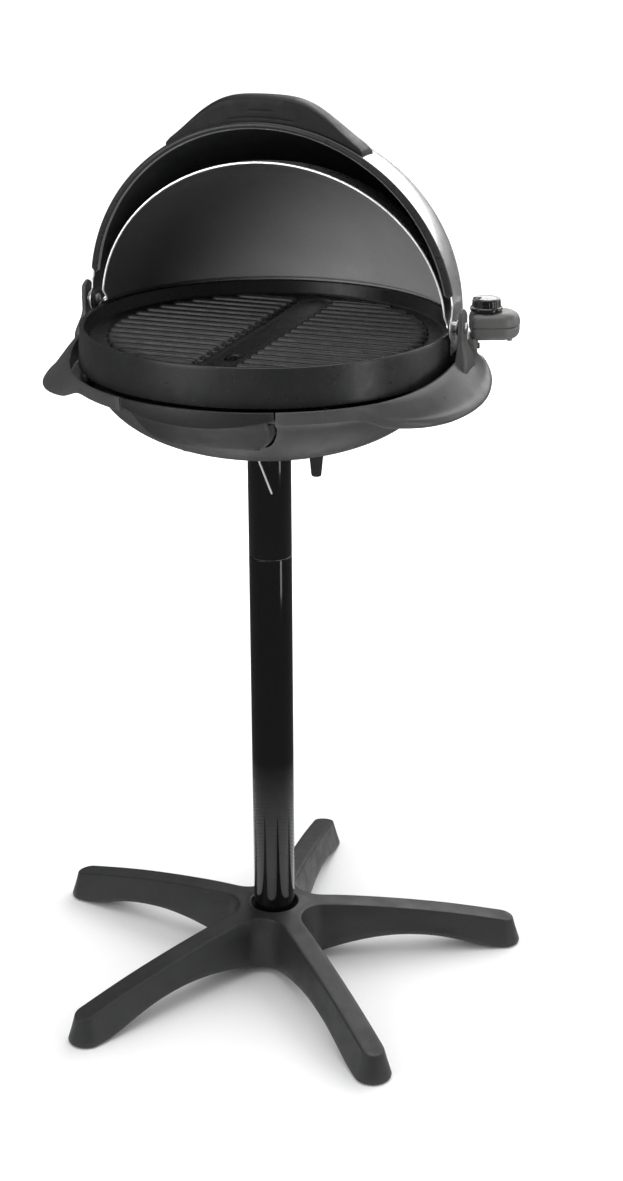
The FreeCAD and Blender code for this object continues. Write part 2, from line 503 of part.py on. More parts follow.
# turning about -X carries the front horizontal up and over to the rear
lune = face.revolve(C, V(-1, 0, 0), HOOD_A1 - HOOD_A0)
lune = lune if lune.ShapeType == "Solid" else Part.Solid(lune)
lune = turn(lune, -HOOD_A0, (C.x, C.y, C.z), (1, 0, 0))
ends = []
for s in (-1, 1):
    ends.append(cyl(16.0, XO - XI, (s * XI, PIV_Y, ZR + PIV_Z), (s, 0, 0)))
hood = fuse([lune] + ends)
for s in (-1, 1):
    hood = hood.cut(cyl(6.5, 20, (s * 220.0, PIV_Y, ZR + PIV_Z), (s, 0, 0)))
a0 = math.radians(HOOD_A0)
E2 = V(0, -math.cos(a0), math.sin(a0))      # outward at the front edge
E3 = V(0, math.sin(a0), math.cos(a0))       # along the hood, away from the front edge


def at_hood(x, e2, e3):
    return V(C.x + x, C.y + E2.y * e2 + E3.y * e3, C.z + E2.z * e2 + E3.z * e3)


HS = [(-72.0, 20.0), (72.0, 20.0)]          # handle screws: x, distance behind the front edge
for x, e3 in HS:
    hood = hood.cut(Part.makeCylinder(2.6, 40, at_hood(x, 200, e3), E2))
save("front_hood", hood.removeSplitter())

# rolled edge in front of the sheet: round section swept along the ellipse
BM = 2.6
t0 = math.radians(15.0)
path_pts = []
n = 40
for i in range(n + 1):
    t = t0 + (math.pi - 2 * t0) * i / n
    path_pts.append(at_hood(HOOD_A * math.cos(t), HOOD_B * math.sin(t), -BM - 0.03))
k = Part.BSplineCurve()
k.interpolate(path_pts)
tang = k.tangent(k.FirstParameter)[0]
disc = Part.Wire(Part.makeCircle(BM, path_pts[0], tang))
bead = Part.Wire(k.toShape()).makePipeShell([disc], True, True)
save("hood_rim", bead if bead.ShapeType == "Solid" else Part.Solid(bead))

# grip
TOPC = [(0, 256.5), (32, 255.0), (54, 249.5), (72, 239.5), (88, 227.0), (104, 213.0), (116, 201.5), (121, 195.5)]


def grip_face(shift, e3):
    left = [(-x, y - shift) for x, y in reversed(TOPC)] + [(x, y - shift) for x, y in TOPC[1:]]
    k = Part.BSplineCurve()
    k.interpolate([at_hood(x, y, e3) for x, y in left])
    xl, yl = left[0]
    low = Part.LineSegment(at_hood(left[-1][0], left[-1][1], e3), at_hood(100, 172, e3)).toShape()
    low2 = Part.LineSegment(at_hood(100, 172, e3), at_hood(-100, 172, e3)).toShape()
    low3 = Part.LineSegment(at_hood(-100, 172, e3), at_hood(xl, yl, e3)).toShape()
    return Part.Wire([k.toShape(), low, low2, low3])


grip = Part.makeLoft([grip_face(2.5, 0.4), grip_face(0.0, 6.0), grip_face(0.0, 24.0), grip_face(9.0, 40.0)], True, False)
grip = grip.cut(ellipsoid(HOOD_A + 0.05, HOOD_B + 0.05))
grip = max(grip.Solids, key=lambda q: q.Volume)
for x, e3 in HS:
    grip = grip.cut(Part.makeCylinder(1.95, 34, at_hood(x, 205, e3), E2))
save("hood_handle", grip)
hs = []
for x, e3 in HS:
    d = math.sqrt((HOOD_B - HOOD_T) ** 2 * (1 - (x / (HOOD_A - HOOD_T)) ** 2) - e3 * e3)
    a = Part.makeCylinder(1.9, 15.0, at_hood(x, d - 2.6, e3), E2)
    b = Part.makeCylinder(4.0, 2.4, at_hood(x, d - 3.9, e3), E2)
    hs.append(fuse([a, b]))
save("handle_screws", hs)

# pivots
pins, bushes = [], []
for s in (-1, 1):
    p = [cyl(3.98, 22.5, (s * 227.5, PIV_Y, ZR + PIV_Z), (s, 0, 0)), cyl(7.0, 3.0, (s * 224.9, PIV_Y, ZR + PIV_Z), (s, 0, 0)),
         cyl(6.5, 2.4, (s * 248.05, PIV_Y, ZR + PIV_Z), (s, 0, 0))]
    pins.append(fuse(p))
    b = cyl(6.48, 6.6, (s * 228.2, PIV_Y, ZR + PIV_Z), (s, 0, 0)).cut(cyl(4.05, 14, (s * 226.0, PIV_Y, ZR + PIV_Z), (s, 0, 0)))
    bushes.append(b)
save("pivot_pins", pins)
save("pivot_bushes", bushes)

# ---------------------------------------------------------------- plug-in control, drawn along +X then turned
def stadium(x0, x1, hw, z0, z1):
    """Long body with a round outer end and softened inner corners."""
    xc = x1 - hw
    e = [Part.LineSegment(V(x0 + 5, -hw, z0), V(xc, -hw, z0)).toShape(),
         Part.Arc(V(xc, -hw, z0), V(x1, 0, z0), V(xc, hw, z0)).toShape(),
         Part.LineSegment(V(xc, hw, z0), V(x0 + 5, hw, z0)).toShape(),
         Part.Arc(V(x0 + 5, hw, z0), V(x0 + 1.46, hw - 1.46, z0), V(x0, hw - 5, z0)).toShape(),
         Part.LineSegment(V(x0, hw - 5, z0), V(x0, -hw + 5, z0)).toShape(),
         Part.Arc(V(x0, -hw + 5, z0), V(x0 + 1.46, -hw + 1.46, z0), V(x0 + 5, -hw, z0)).toShape()]
    return Part.Face(Part.Wire(e)).extrude(V(0, 0, z1 - z0))


def place(s):
    return turn(s, CTL_ANG)


CX0, CX1, CW = 243.0, 303.0, 25.0
cb = stadium(CX0, CX1, CW, ZR - 23.5, ZR - 7.5).cut(stadium(CX0 + 2.5, CX1 - 2.5, CW - 2.5, ZR - 21.0, ZR + 0.0))
neck = box(231.8, 264.0, -20.0, 20.0, ZR - 42.0, ZR - 22.0)
cb = fuse([cb, neck])
SLEEVE = 3.6
for s in (-1, 1):
    cb = cb.cut(cyl(SLEEVE, 24.0, (231.0, s * 11.0, ZR + CTL_Z), (1, 0, 0)))
cb = cb.cut(cyl(3.0, 20.0, (231.0, 0, ZR + CTL_Z), (1, 0, 0)))
cb = cb.cut(cyl(4.0, 12.0, (284.0, CW - 8.0, ZR - 15.5), (0, 1, 0)))
CSX = [(290.0, -10.0), (290.0, 10.0)]
bosses, scr = [], []
for x, y in CSX:
    bosses.append(cyl(4.0, 13.0, (x, y, ZR - 21.5)))
    scr.append(fuse([cyl(1.45, 17.0, (x, y, ZR - 24.4)), cyl(3.0, 1.6, (x, y, ZR - 25.3))]))
cb = cb.fuse(bosses)
for x, y in CSX:
    cb = cb.cut(cyl(1.5, 30.0, (x, y, ZR - 30.0)))
save("control_base", place(cb.removeSplitter()))
cc_out = stadium(CX0, CX1, CW, ZR - 7.4, ZR + 9.0)
try:
    top_edges = [e for e in cc_out.Edges if abs(e.BoundBox.ZMin - (ZR + 9.0)) < 1e-6 and abs(e.BoundBox.ZMax - (ZR + 9.0)) < 1e-6]
    cc_out = cc_out.makeFillet(4.0, top_edges)
except Part.OCCError:
    print("CHECK cover fillet")
cc = cc_out.cut(stadium(CX0 + 2.5, CX1 - 2.5, CW - 2.5, ZR - 8.0, ZR + 6.5))
cc = cc.fuse([cyl(4.0, 13.5, (x, y, ZR - 7.0)) for x, y in CSX])
for x, y in CSX:
    cc = cc.cut(cyl(1.5, 8.0, (x, y, ZR - 8.0)))
cc = cc.cut(cyl(3.55, 40, (KNOB_R0, 0, ZR - 10)))
save("control_cover", place(cc.removeSplitter()))
save("control_screws", [place(q) for q in scr])
save("knob_shaft", place(cyl(3.5, 32.0, (KNOB_R0, 0, ZR - 12.0)).cut(box(KNOB_R0 + 2.2, KNOB_R0 + 9, -9, 9, ZR + 11.5, ZR + 40))))
kn = revolve([(0, 9.6), (19.0, 9.6), (19.4, 10.4), (19.0, 14.0), (17.2, 15.0), (16.6, 22.5), (15.0, 24.6), (0, 25.4)])
kn.translate(V(KNOB_R0, 0, ZR))
grips = []
for i in range(18):
    t = math.radians(20 * i)
    grips.append(cyl(1.3, 12.0, (KNOB_R0 + 17.4 * math.cos(t), 17.4 * math.sin(t), ZR + 14.4)))
kn = kn.cut(grips[0].multiFuse(grips[1:]))
kn = kn.cut(cyl(3.52, 11.0, (KNOB_R0, 0, ZR + 9.0)).cut(box(KNOB_R0 + 2.18, KNOB_R0 + 9, -9, 9, ZR + 11.5, ZR + 40)))
save("control_knob", place(kn))
save("probe_rod", place(cyl(3.0, 104.0, (144.0, 0, ZR + CTL_Z), (1, 0, 0))))
sl = []
for s in (-1, 1):
    sl.append(place(cyl(SLEEVE, 21.0, (233.0, s * 11.0, ZR + CTL_Z), (1, 0, 0)).cut(cyl(2.6, 16.0, (232.0, s * 11.0, ZR + CTL_Z), (1, 0, 0)))))
save("contact_sleeves", sl)
gl = fuse([cyl(4.0, 9.0, (284.0, CW - 7.0, ZR - 15.5), (0, 1, 0)), cyl(6.5, 3.0, (284.0, CW + 0.05, ZR - 15.5), (0, 1, 0)), cyl(5.0, 9.0, (284.0, CW + 1.0, ZR - 15.5), (0, 1, 0))])
gl = gl.cut(cyl(2.6, 40.0, (284.0, CW - 12.0, ZR - 15.5), (0, 1, 0)))
save("cord_gland", place(gl))
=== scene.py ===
import bpy, bmesh, math
import numpy as np
from mathutils import Matrix, Vector


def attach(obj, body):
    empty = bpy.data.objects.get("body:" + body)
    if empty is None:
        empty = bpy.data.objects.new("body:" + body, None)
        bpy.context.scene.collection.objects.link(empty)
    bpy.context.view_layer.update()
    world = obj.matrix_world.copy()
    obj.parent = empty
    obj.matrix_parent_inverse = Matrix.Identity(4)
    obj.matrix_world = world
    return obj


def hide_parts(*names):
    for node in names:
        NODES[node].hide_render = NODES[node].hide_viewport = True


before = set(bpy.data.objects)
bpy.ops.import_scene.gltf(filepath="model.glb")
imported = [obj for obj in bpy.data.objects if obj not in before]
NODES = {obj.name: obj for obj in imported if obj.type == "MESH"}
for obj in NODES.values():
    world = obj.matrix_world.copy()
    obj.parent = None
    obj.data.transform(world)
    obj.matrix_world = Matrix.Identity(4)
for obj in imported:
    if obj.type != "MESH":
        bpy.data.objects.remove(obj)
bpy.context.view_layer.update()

# Shapes below are worked out in millimetres in the frame of the CAD part: floor at z = 0, post axis on the origin,
# front towards -Y, control on the right (+X).  ZR is the height of the cooking plate's rim.
ZR = 874.0


# ------------------------------------------------------------------------------------------------ helpers
def sm(t):
    t = np.clip(t, 0.0, 1.0)
    return t * t * (3 - 2 * t)


def crom(xs, ys):
    """Smooth curve through points (cubic Hermite with centred slopes)."""
    xs, ys = np.asarray(xs, float), np.asarray(ys, float)
    m = np.gradient(ys, xs)

    def f(x):
        x = np.asarray(x, float)
        i = np.clip(np.searchsorted(xs, x) - 1, 0, len(xs) - 2)
        h = xs[i + 1] - xs[i]
        t = np.clip((x - xs[i]) / h, 0, 1)
        return ((2 * t**3 - 3 * t**2 + 1) * ys[i] + (t**3 - 2 * t**2 + t) * h * m[i]
                + (-2 * t**3 + 3 * t**2) * ys[i + 1] + (t**3 - t**2) * h * m[i + 1])
    return f


def through(pts, n):
    """Catmull-Rom curve through 2-D or 3-D points, n samples per span."""
    P = np.asarray(pts, float)
    Q = np.vstack([2 * P[0] - P[1], P, 2 * P[-1] - P[-2]])
    out = []
    for i in range(1, len(Q) - 2):
        a, b, c, d = Q[i - 1], Q[i], Q[i + 1], Q[i + 2]
        for k in range(n):
            t = k / n
            out.append(0.5 * (2 * b + (c - a) * t + (2 * a - 5 * b + 4 * c - d) * t * t + (3 * b - a - 3 * c + d) * t**3))
    out.append(P[-1])
    return np.array(out)


def fillet(pts, r, n=5, closed=False):
    """Polyline with rounded corners; r is one radius, or one per point."""
    pts = [np.array(p, float) for p in pts]
    N = len(pts)
    rs = [r] * N if np.isscalar(r) else list(r)
    out = []
    for i, p in enumerate(pts):
        if (not closed and i in (0, N - 1)) or rs[i] <= 0:
            out.append(p)
            continue
        u, v = pts[i - 1] - p, pts[(i + 1) % N] - p
        lu, lv = np.linalg.norm(u), np.linalg.norm(v)
        u, v = u / lu, v / lv
        ang = math.acos(max(-1.0, min(1.0, float(u @ v))))
        if ang > math.pi - 0.03:
            out.append(p)
            continue
        t = min(rs[i] / math.tan(ang / 2), 0.48 * lu, 0.48 * lv)
        rr = t * math.tan(ang / 2)
        bis = (u + v) / np.linalg.norm(u + v)
        cen = p + bis * (rr / math.sin(ang / 2))
        s, e = p + u * t - cen, p + v * t - cen
        for k in range(n + 1):
            d = s * (1 - k / n) + e * (k / n)
            out.append(cen + d / np.linalg.norm(d) * rr)
    return np.array(out)


class Build:
    """Collects vertices and faces of one piece."""

    def __init__(self):
        self.v, self.f, self.m, self.n = [], [], [], 0

    def add(self, P):
        P = np.asarray(P, float).reshape(-1, 3)
        i = self.n
        self.v.append(P)
        self.n += len(P)
        return i

    def grid(self, P, cu=False, cv=False, mat=0, skip=None):
        P = np.asarray(P, float)
        nu, nv = P.shape[:2]
        b = self.add(P)
        for i in range(nu if cu else nu - 1):
            i2 = (i + 1) % nu
            for j in range(nv if cv else nv - 1):
                if skip is not None and skip(i, j):
                    continue
                j2 = (j + 1) % nv
                self.f.append((b + i * nv + j, b + i2 * nv + j, b + i2 * nv + j2, b + i * nv + j2))
                self.m.append(mat)
        return b

    def poly(self, P, mat=0):
        P = np.asarray(P, float).reshape(-1, 3)
        b = self.add(P)
        self.f.append(tuple(range(b, b + len(P))))
        self.m.append(mat)

    def fan(self, P, mat=0, centre=None):
        """Closed ring filled from its middle."""
        P = np.asarray(P, float).reshape(-1, 3)
        b = self.add(P)
        c = self.add(P.mean(0) if centre is None else centre)
        for i in range(len(P)):
            self.f.append((b + i, b + (i + 1) % len(P), c))
            self.m.append(mat)

    def revolve(self, prof, seg=128, mat=0, a0=0.0, a1=360.0, closed=True, centre=(0, 0)):
        """Profile of (r, z) turned about the vertical axis; z is from the floor."""
        prof = np.asarray(prof, float)
        full = abs(a1 - a0 - 360) < 1e-6
        a = np.radians(np.linspace(a0, a1, seg + (0 if full else 1), endpoint=not full))
        P = np.stack([centre[0] + np.outer(np.cos(a), prof[:, 0]), centre[1] + np.outer(np.sin(a), prof[:, 0]), np.outer(np.ones_like(a), prof[:, 1])], -1)
        self.grid(P, cu=full, cv=closed, mat=mat)
        if not full and closed:
            self.poly(P[0], mat)
            self.poly(P[-1], mat)

    def tube(self, path, r, n=12, mat=0, round_ends=True, closed=False):
        """Round bar along points; r may be one number or one per point."""
        path = np.asarray(path, float)
        rs = np.full(len(path), r, float) if np.isscalar(r) else np.asarray(r, float)
        T = np.gradient(path, axis=0)
        T /= np.linalg.norm(T, axis=1)[:, None]
        ref = np.array([0, 0, 1.0]) if abs(T[0][2]) < 0.9 else np.array([1.0, 0, 0])
        N = np.cross(ref, T[0])
        N /= np.linalg.norm(N)
        rings = []
        ang = np.linspace(0, 2 * math.pi, n, endpoint=False)
        for i, p in enumerate(path):
            N = N - T[i] * (N @ T[i])
            N /= np.linalg.norm(N)
            B = np.cross(T[i], N)
            if round_ends and i == 0:
                for q in (80, 60, 40, 20):
                    k = math.radians(q)
                    rings.append(p - T[i] * rs[i] * math.sin(k) + rs[i] * math.cos(k) * (np.outer(np.cos(ang), N) + np.outer(np.sin(ang), B)))
            rings.append(p + rs[i] * (np.outer(np.cos(ang), N) + np.outer(np.sin(ang), B)))
            if round_ends and i == len(path) - 1:
                for q in (20, 40, 60, 80):
                    k = math.radians(q)
                    rings.append(p + T[i] * rs[i] * math.sin(k) + rs[i] * math.cos(k) * (np.outer(np.cos(ang), N) + np.outer(np.sin(ang), B)))
        self.grid(np.array(rings), cv=True, mat=mat)
        self.fan(rings[0], mat)
        self.fan(rings[-1], mat)

    def done(self, name, mats, body, node=None, sharp=38.0, merge=0.002):
        me = bpy.data.meshes.new(name)
        me.from_pydata((np.vstack(self.v) * 0.001).tolist(), [], self.f)
        me.polygons.foreach_set("material_index", np.array(self.m, np.int32))
        bm = bmesh.new()
        bm.from_mesh(me)
        bmesh.ops.remove_doubles(bm, verts=bm.verts, dist=merge * 0.001)
        bmesh.ops.dissolve_degenerate(bm, edges=bm.edges, dist=1e-7)
        loose = [v for v in bm.verts if not v.link_faces]
        if loose:
            bmesh.ops.delete(bm, geom=loose, context="VERTS")
        bmesh.ops.recalc_face_normals(bm, faces=bm.faces)
        bm.to_mesh(me)
        bm.free()
        me.shade_smooth()
        me.set_sharp_from_angle(angle=math.radians(sharp))
        for m in (mats if isinstance(mats, (list, tuple)) else [mats]):
            me.materials.append(m)
        o = bpy.data.objects.new(name, me)
        bpy.context.scene.collection.objects.link(o)
        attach(o, body)
        if node:
            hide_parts(*([node] if isinstance(node, str) else node))
        return o


# ------------------------------------------------------------------------------------------------ materials
def ramp_mix(nt, fac, a, b):
    n = nt.nodes.new("ShaderNodeMix")
    n.data_type = "RGBA"
    nt.links.new(fac, n.inputs["Factor"])
    for s, c in (("A", a), ("B", b)):
        sock = [i for i in n.inputs if i.name == s and i.type == "RGBA"][0]
        if isinstance(c, (tuple, list)):
            sock.default_value = (*c, 1.0)
        else:
            nt.links.new(c, sock)
    return [o for o in n.outputs if o.type == "RGBA"][0]


def map_range(nt, val, a, b, c, d):
    n = nt.nodes.new("ShaderNodeMapRange")
    n.clamp = True
    nt.links.new(val, n.inputs["Value"])
    for k, v in (("From Min", a), ("From Max", b), ("To Min", c), ("To Max", d)):
        n.inputs[k].default_value = v
    return n.outputs["Result"]


def noise(nt, vec, scale, detail=2.0, rough=0.5, distort=0.0):
    n = nt.nodes.new("ShaderNodeTexNoise")
    nt.links.new(vec, n.inputs["Vector"])
    n.inputs["Scale"].default_value = scale
    n.inputs["Detail"].default_value = detail
    n.inputs["Roughness"].default_value = rough
    n.inputs["Distortion"].default_value = distort
    return n.outputs["Fac"]


def scaled(nt, vec, s):
    n = nt.nodes.new("ShaderNodeMapping")
    nt.links.new(vec, n.inputs["Vector"])
    n.inputs["Scale"].default_value = s
    return n.outputs["Vector"]


def math_node(nt, op, a, b):
    n = nt.nodes.new("ShaderNodeMath")
    n.operation = op
    for i, x in enumerate((a, b)):
        if isinstance(x, (int, float)):
            n.inputs[i].default_value = x
        else:
            nt.links.new(x, n.inputs[i])
    return n.outputs[0]


def bump(nt, height, strength, dist, prev=None):
    n = nt.nodes.new("ShaderNodeBump")
    n.inputs["Strength"].default_value = strength
    n.inputs["Distance"].default_value = dist
    nt.links.new(height, n.inputs["Height"])
    if prev is not None:
        nt.links.new(prev, n.inputs["Normal"])
    return n.outputs["Normal"]


def finish_mat(name, dark, light, rough, spec=0.5, metallic=0.0, patch=14.0, grain=900.0, grain_mm=0.06, grain_str=0.5, wave=25.0, wave_mm=0.0,
               speck=0.0, speck_col=(0.3, 0.3, 0.3), wear=0.0, wear_col=(0.2, 0.2, 0.2), coat=0.0, coat_rough=0.05, brush=None, dust=0.0, ior=1.5, aniso=0.0):
    """A moulded, painted or metal finish: patchy colour, grain bump, slow waviness, specks, dust on upward faces and rubbed edges."""
    m = bpy.data.materials.new(name)
    m.use_nodes = True
    nt = m.node_tree
    bs = nt.nodes["Principled BSDF"]
    co = nt.nodes.new("ShaderNodeTexCoord").outputs["Object"]
    geo = nt.nodes.new("ShaderNodeNewGeometry")
    big = noise(nt, co, patch, 4.0, 0.55)
    fine = noise(nt, co, grain, 3.0, 0.6)
    col = ramp_mix(nt, map_range(nt, big, 0.32, 0.68, 0.0, 1.0), dark, light)
    fleck = map_range(nt, fine, 0.38, 0.66, 0.0, 0.35)
    col = ramp_mix(nt, fleck, col, tuple(min(1.0, 1.5 * c) for c in light))
    if speck > 0:
        sp = map_range(nt, noise(nt, co, 420.0, 1.0, 0.4), 0.70, 0.76, 0.0, speck)
        col = ramp_mix(nt, sp, col, speck_col)
    if wear > 0:
        edge = map_range(nt, geo.outputs["Pointiness"], 0.515, 0.60, 0.0, 1.0)
        rub = map_range(nt, noise(nt, co, 60.0, 5.0, 0.65), 0.35, 0.65, 0.15, 1.0)
        w = math_node(nt, "MULTIPLY", edge, rub)
        col = ramp_mix(nt, math_node(nt, "MULTIPLY", w, wear), col, wear_col)
    if dust > 0:
        sep = nt.nodes.new("ShaderNodeSeparateXYZ")
        nt.links.new(geo.outputs["Normal"], sep.inputs[0])
        upf = map_range(nt, sep.outputs["Z"], 0.55, 1.0, 0.0, dust)
        dn = map_range(nt, noise(nt, co, 38.0, 6.0, 0.7), 0.35, 0.75, 0.0, 1.0)
        col = ramp_mix(nt, math_node(nt, "MULTIPLY", upf, dn), col, (0.36, 0.35, 0.33))
    nt.links.new(col, bs.inputs["Base Color"])
    mid = noise(nt, co, patch * 4.5, 5.0, 0.62)
    nt.links.new(map_range(nt, mid, 0.3, 0.7, max(0.02, rough - rough * 0.22), min(1.0, rough + rough * 0.22)), bs.inputs["Roughness"])
    bs.inputs["Metallic"].default_value = metallic
    bs.inputs["Specular IOR Level"].default_value = spec
    bs.inputs["IOR"].default_value = ior
    bs.inputs["Coat Weight"].default_value = coat
    bs.inputs["Coat Roughness"].default_value = coat_rough
    if aniso:
        bs.inputs["Anisotropic"].default_value = aniso
    nrm = None
    if wave_mm > 0:
        nrm = bump(nt, noise(nt, co, wave, 2.0, 0.5), 1.0, wave_mm * 0.001)
    if brush is not None:
        nrm = bump(nt, noise(nt, scaled(nt, co, brush), 1.0, 4.0, 0.6), 0.35, 0.00003, nrm)
    nrm = bump(nt, fine, grain_str, grain_mm * 0.001, nrm)
    nt.links.new(nrm, bs.inputs["Normal"])
    return m


M = {}
M["star"] = finish_mat("star_charcoal_moulded", (0.026, 0.0265, 0.0275), (0.036, 0.0365, 0.0375), 0.46, grain=700, grain_mm=0.09, grain_str=0.6, patch=9,
                       speck=0.25, speck_col=(0.09, 0.09, 0.09), wear=0.35, wear_col=(0.12, 0.12, 0.12), dust=0.05)
M["rubber"] = finish_mat("pad_rubber_black", (0.012, 0.012, 0.012), (0.022, 0.022, 0.022), 0.75, spec=0.3, grain=500, grain_mm=0.12)
M["post"] = finish_mat("post_gloss_black", (0.0035, 0.0035, 0.0038), (0.0055, 0.0055, 0.006), 0.085, spec=0.5, grain=160, grain_mm=0.006, grain_str=0.35, patch=6, wave=9, wave_mm=0.02,
                       speck=0.12, speck_col=(0.05, 0.05, 0.05), coat=0.25, coat_rough=0.04)
M["bowl"] = finish_mat("bowl_grey_satin", (0.042, 0.042, 0.042), (0.052, 0.052, 0.052), 0.42, grain=900, grain_mm=0.04, grain_str=0.4, patch=8, speck=0.2, speck_col=(0.12, 0.12, 0.12),
                       wear=0.2, wear_col=(0.22, 0.22, 0.22))
M["collar"] = finish_mat("collar_charcoal_satin", (0.054, 0.0545, 0.054), (0.068, 0.0685, 0.068), 0.35, spec=0.6, grain=800, grain_mm=0.014, grain_str=0.4, patch=11, speck=0.0,
                         speck_col=(0.14, 0.14, 0.14), wear=0.4, wear_col=(0.22, 0.22, 0.22), dust=0.03)
M["wire"] = finish_mat("wire_bright", (0.74, 0.74, 0.74), (0.84, 0.84, 0.84), 0.30, metallic=0.35, grain=1500, grain_mm=0.01, patch=40, brush=(40, 40, 2600))
M["steel"] = finish_mat("steel_plain", (0.46, 0.46, 0.47), (0.60, 0.60, 0.61), 0.30, metallic=1.0, grain=1200, grain_mm=0.015, patch=30, brush=(1800, 60, 60))
M["plate"] = finish_mat("plate_coating_charcoal", (0.014, 0.0145, 0.0145), (0.022, 0.0225, 0.0225), 0.33, spec=0.56, grain=850, grain_mm=0.05, grain_str=0.5, patch=16, speck=0.3,
                        speck_col=(0.12, 0.12, 0.118), wear=0.5, wear_col=(0.13, 0.13, 0.13), wave=40, wave_mm=0.03)
M["ceramic"] = finish_mat("spacer_dark_ceramic", (0.045, 0.044, 0.042), (0.066, 0.064, 0.061), 0.6, grain=800, grain_mm=0.05)
M["reflector"] = finish_mat("reflector_sheet", (0.5, 0.5, 0.5), (0.64, 0.64, 0.63), 0.34, metallic=1.0, grain=400, grain_mm=0.02, brush=(30, 1200, 30))
M["element"] = finish_mat("element_sheath", (0.10, 0.09, 0.085), (0.17, 0.15, 0.14), 0.45, metallic=0.7, grain=600, grain_mm=0.05, patch=35)
M["hood_in"] = finish_mat("inner_hood_grey", (0.086, 0.0865, 0.0865), (0.104, 0.1045, 0.1045), 0.40, spec=0.5, grain=1000, grain_mm=0.03, grain_str=0.4, patch=7, wave=7, wave_mm=0.12)
M["hood_out"] = finish_mat("outer_hood_silver", (0.60, 0.60, 0.605), (0.70, 0.70, 0.705), 0.30, metallic=0.85, grain=900, grain_mm=0.005, grain_str=0.4, patch=9, wave=6, wave_mm=0.10,
                           speck=0.25, speck_col=(0.85, 0.85, 0.85), coat=0.35, coat_rough=0.12)
M["hood_lining"] = finish_mat("moving_hood_lining", (0.030, 0.030, 0.0305), (0.042, 0.042, 0.0425), 0.33, grain=1000, grain_mm=0.03, patch=8, wave=7, wave_mm=0.10, speck=0.2,
                              speck_col=(0.1, 0.1, 0.1))
# light grey copy of the lining for its first rows inside the front edge: a painted highlight for the lit band along the
# inside of the rim
M["hem"] = finish_mat("moving_hood_hem", (0.20, 0.20, 0.20), (0.26, 0.26, 0.258), 0.36, grain=1000, grain_mm=0.03, patch=10, wave=8, wave_mm=0.08, speck=0.2, speck_col=(0.36, 0.36, 0.36))
# light grey metal for the inner half of the black rim: a painted highlight for the bright band along the rim's lit
# inner face
M["rim_in"] = finish_mat("hood_rim_inner_metal", (0.46, 0.46, 0.46), (0.56, 0.56, 0.56), 0.34, metallic=0.75, grain=1200, grain_mm=0.02, patch=18, speck=0.2, speck_col=(0.7, 0.7, 0.7))
M["edge"] = finish_mat("hood_edge_bare", (0.56, 0.56, 0.56), (0.68, 0.68, 0.675), 0.32, metallic=0.55, grain=1400, grain_mm=0.02, patch=40)
M["rim"] = finish_mat("hood_rim_black", (0.020, 0.0205, 0.021), (0.030, 0.0305, 0.031), 0.30, grain=1200, grain_mm=0.03, patch=20, wear=0.3, wear_col=(0.16, 0.16, 0.16), speck=0.15,
                      speck_col=(0.1, 0.1, 0.1))
M["handle"] = finish_mat("handle_black_moulded", (0.009, 0.0092, 0.0096), (0.014, 0.0143, 0.0147), 0.50, spec=0.4, grain=800, grain_mm=0.08, grain_str=0.55, patch=14, speck=0.2,
                         speck_col=(0.08, 0.08, 0.08), wear=0.4, wear_col=(0.11, 0.11, 0.11))
M["brass"] = finish_mat("bush_brass", (0.55, 0.42, 0.20), (0.66, 0.52, 0.28), 0.34, metallic=1.0, grain=900, grain_mm=0.02)
M["tray"] = finish_mat("tray_charcoal", (0.017, 0.0173, 0.0173), (0.024, 0.0243, 0.0243), 0.40, spec=0.42, grain=1000, grain_mm=0.04, grain_str=0.45, patch=12, wear=0.35, wear_col=(0.14, 0.14, 0.14),
                       speck=0.2, speck_col=(0.1, 0.1, 0.1))
M["pan"] = finish_mat("tray_pan", (0.022, 0.022, 0.022), (0.032, 0.032, 0.032), 0.45, grain=900, grain_mm=0.05, patch=18)
M["control"] = finish_mat("control_charcoal_satin", (0.112, 0.1122, 0.109), (0.136, 0.1362, 0.132), 0.34, grain=1300, grain_mm=0.03, patch=26, wear=0.3, wear_col=(0.16, 0.16, 0.155),
                          speck=0.2, speck_col=(0.12, 0.12, 0.12))
M["knob"] = finish_mat("knob_gloss_black", (0.006, 0.006, 0.0062), (0.010, 0.010, 0.0102), 0.13, grain=900, grain_mm=0.008, patch=30, coat=0.4, coat_rough=0.06, wear=0.25, wear_col=(0.1, 0.1, 0.1))


# ------------------------------------------------------------------------------------------------ star base
LEGS = (25.4, 97.4, 169.4, 241.4, 313.4)
z_top = crom([0, 40, 50, 64, 97, 130, 163, 197, 231, 266, 302, 318, 340], [79.8, 79.8, 79.3, 78.2, 75.6, 71.9, 67.6, 62.6, 56.9, 50.0, 42.2, 38.6, 33.8])
z_bot = crom([0, 45, 56, 72, 90, 113, 140, 168, 195, 220, 245, 265, 285, 300, 312, 345], [10.5, 10.5, 11.5, 15.5, 20.5, 25.7, 29.6, 31.0, 29.2, 25.3, 18.8, 12.4, 6.2, 3.2, 2.2, 2.0])


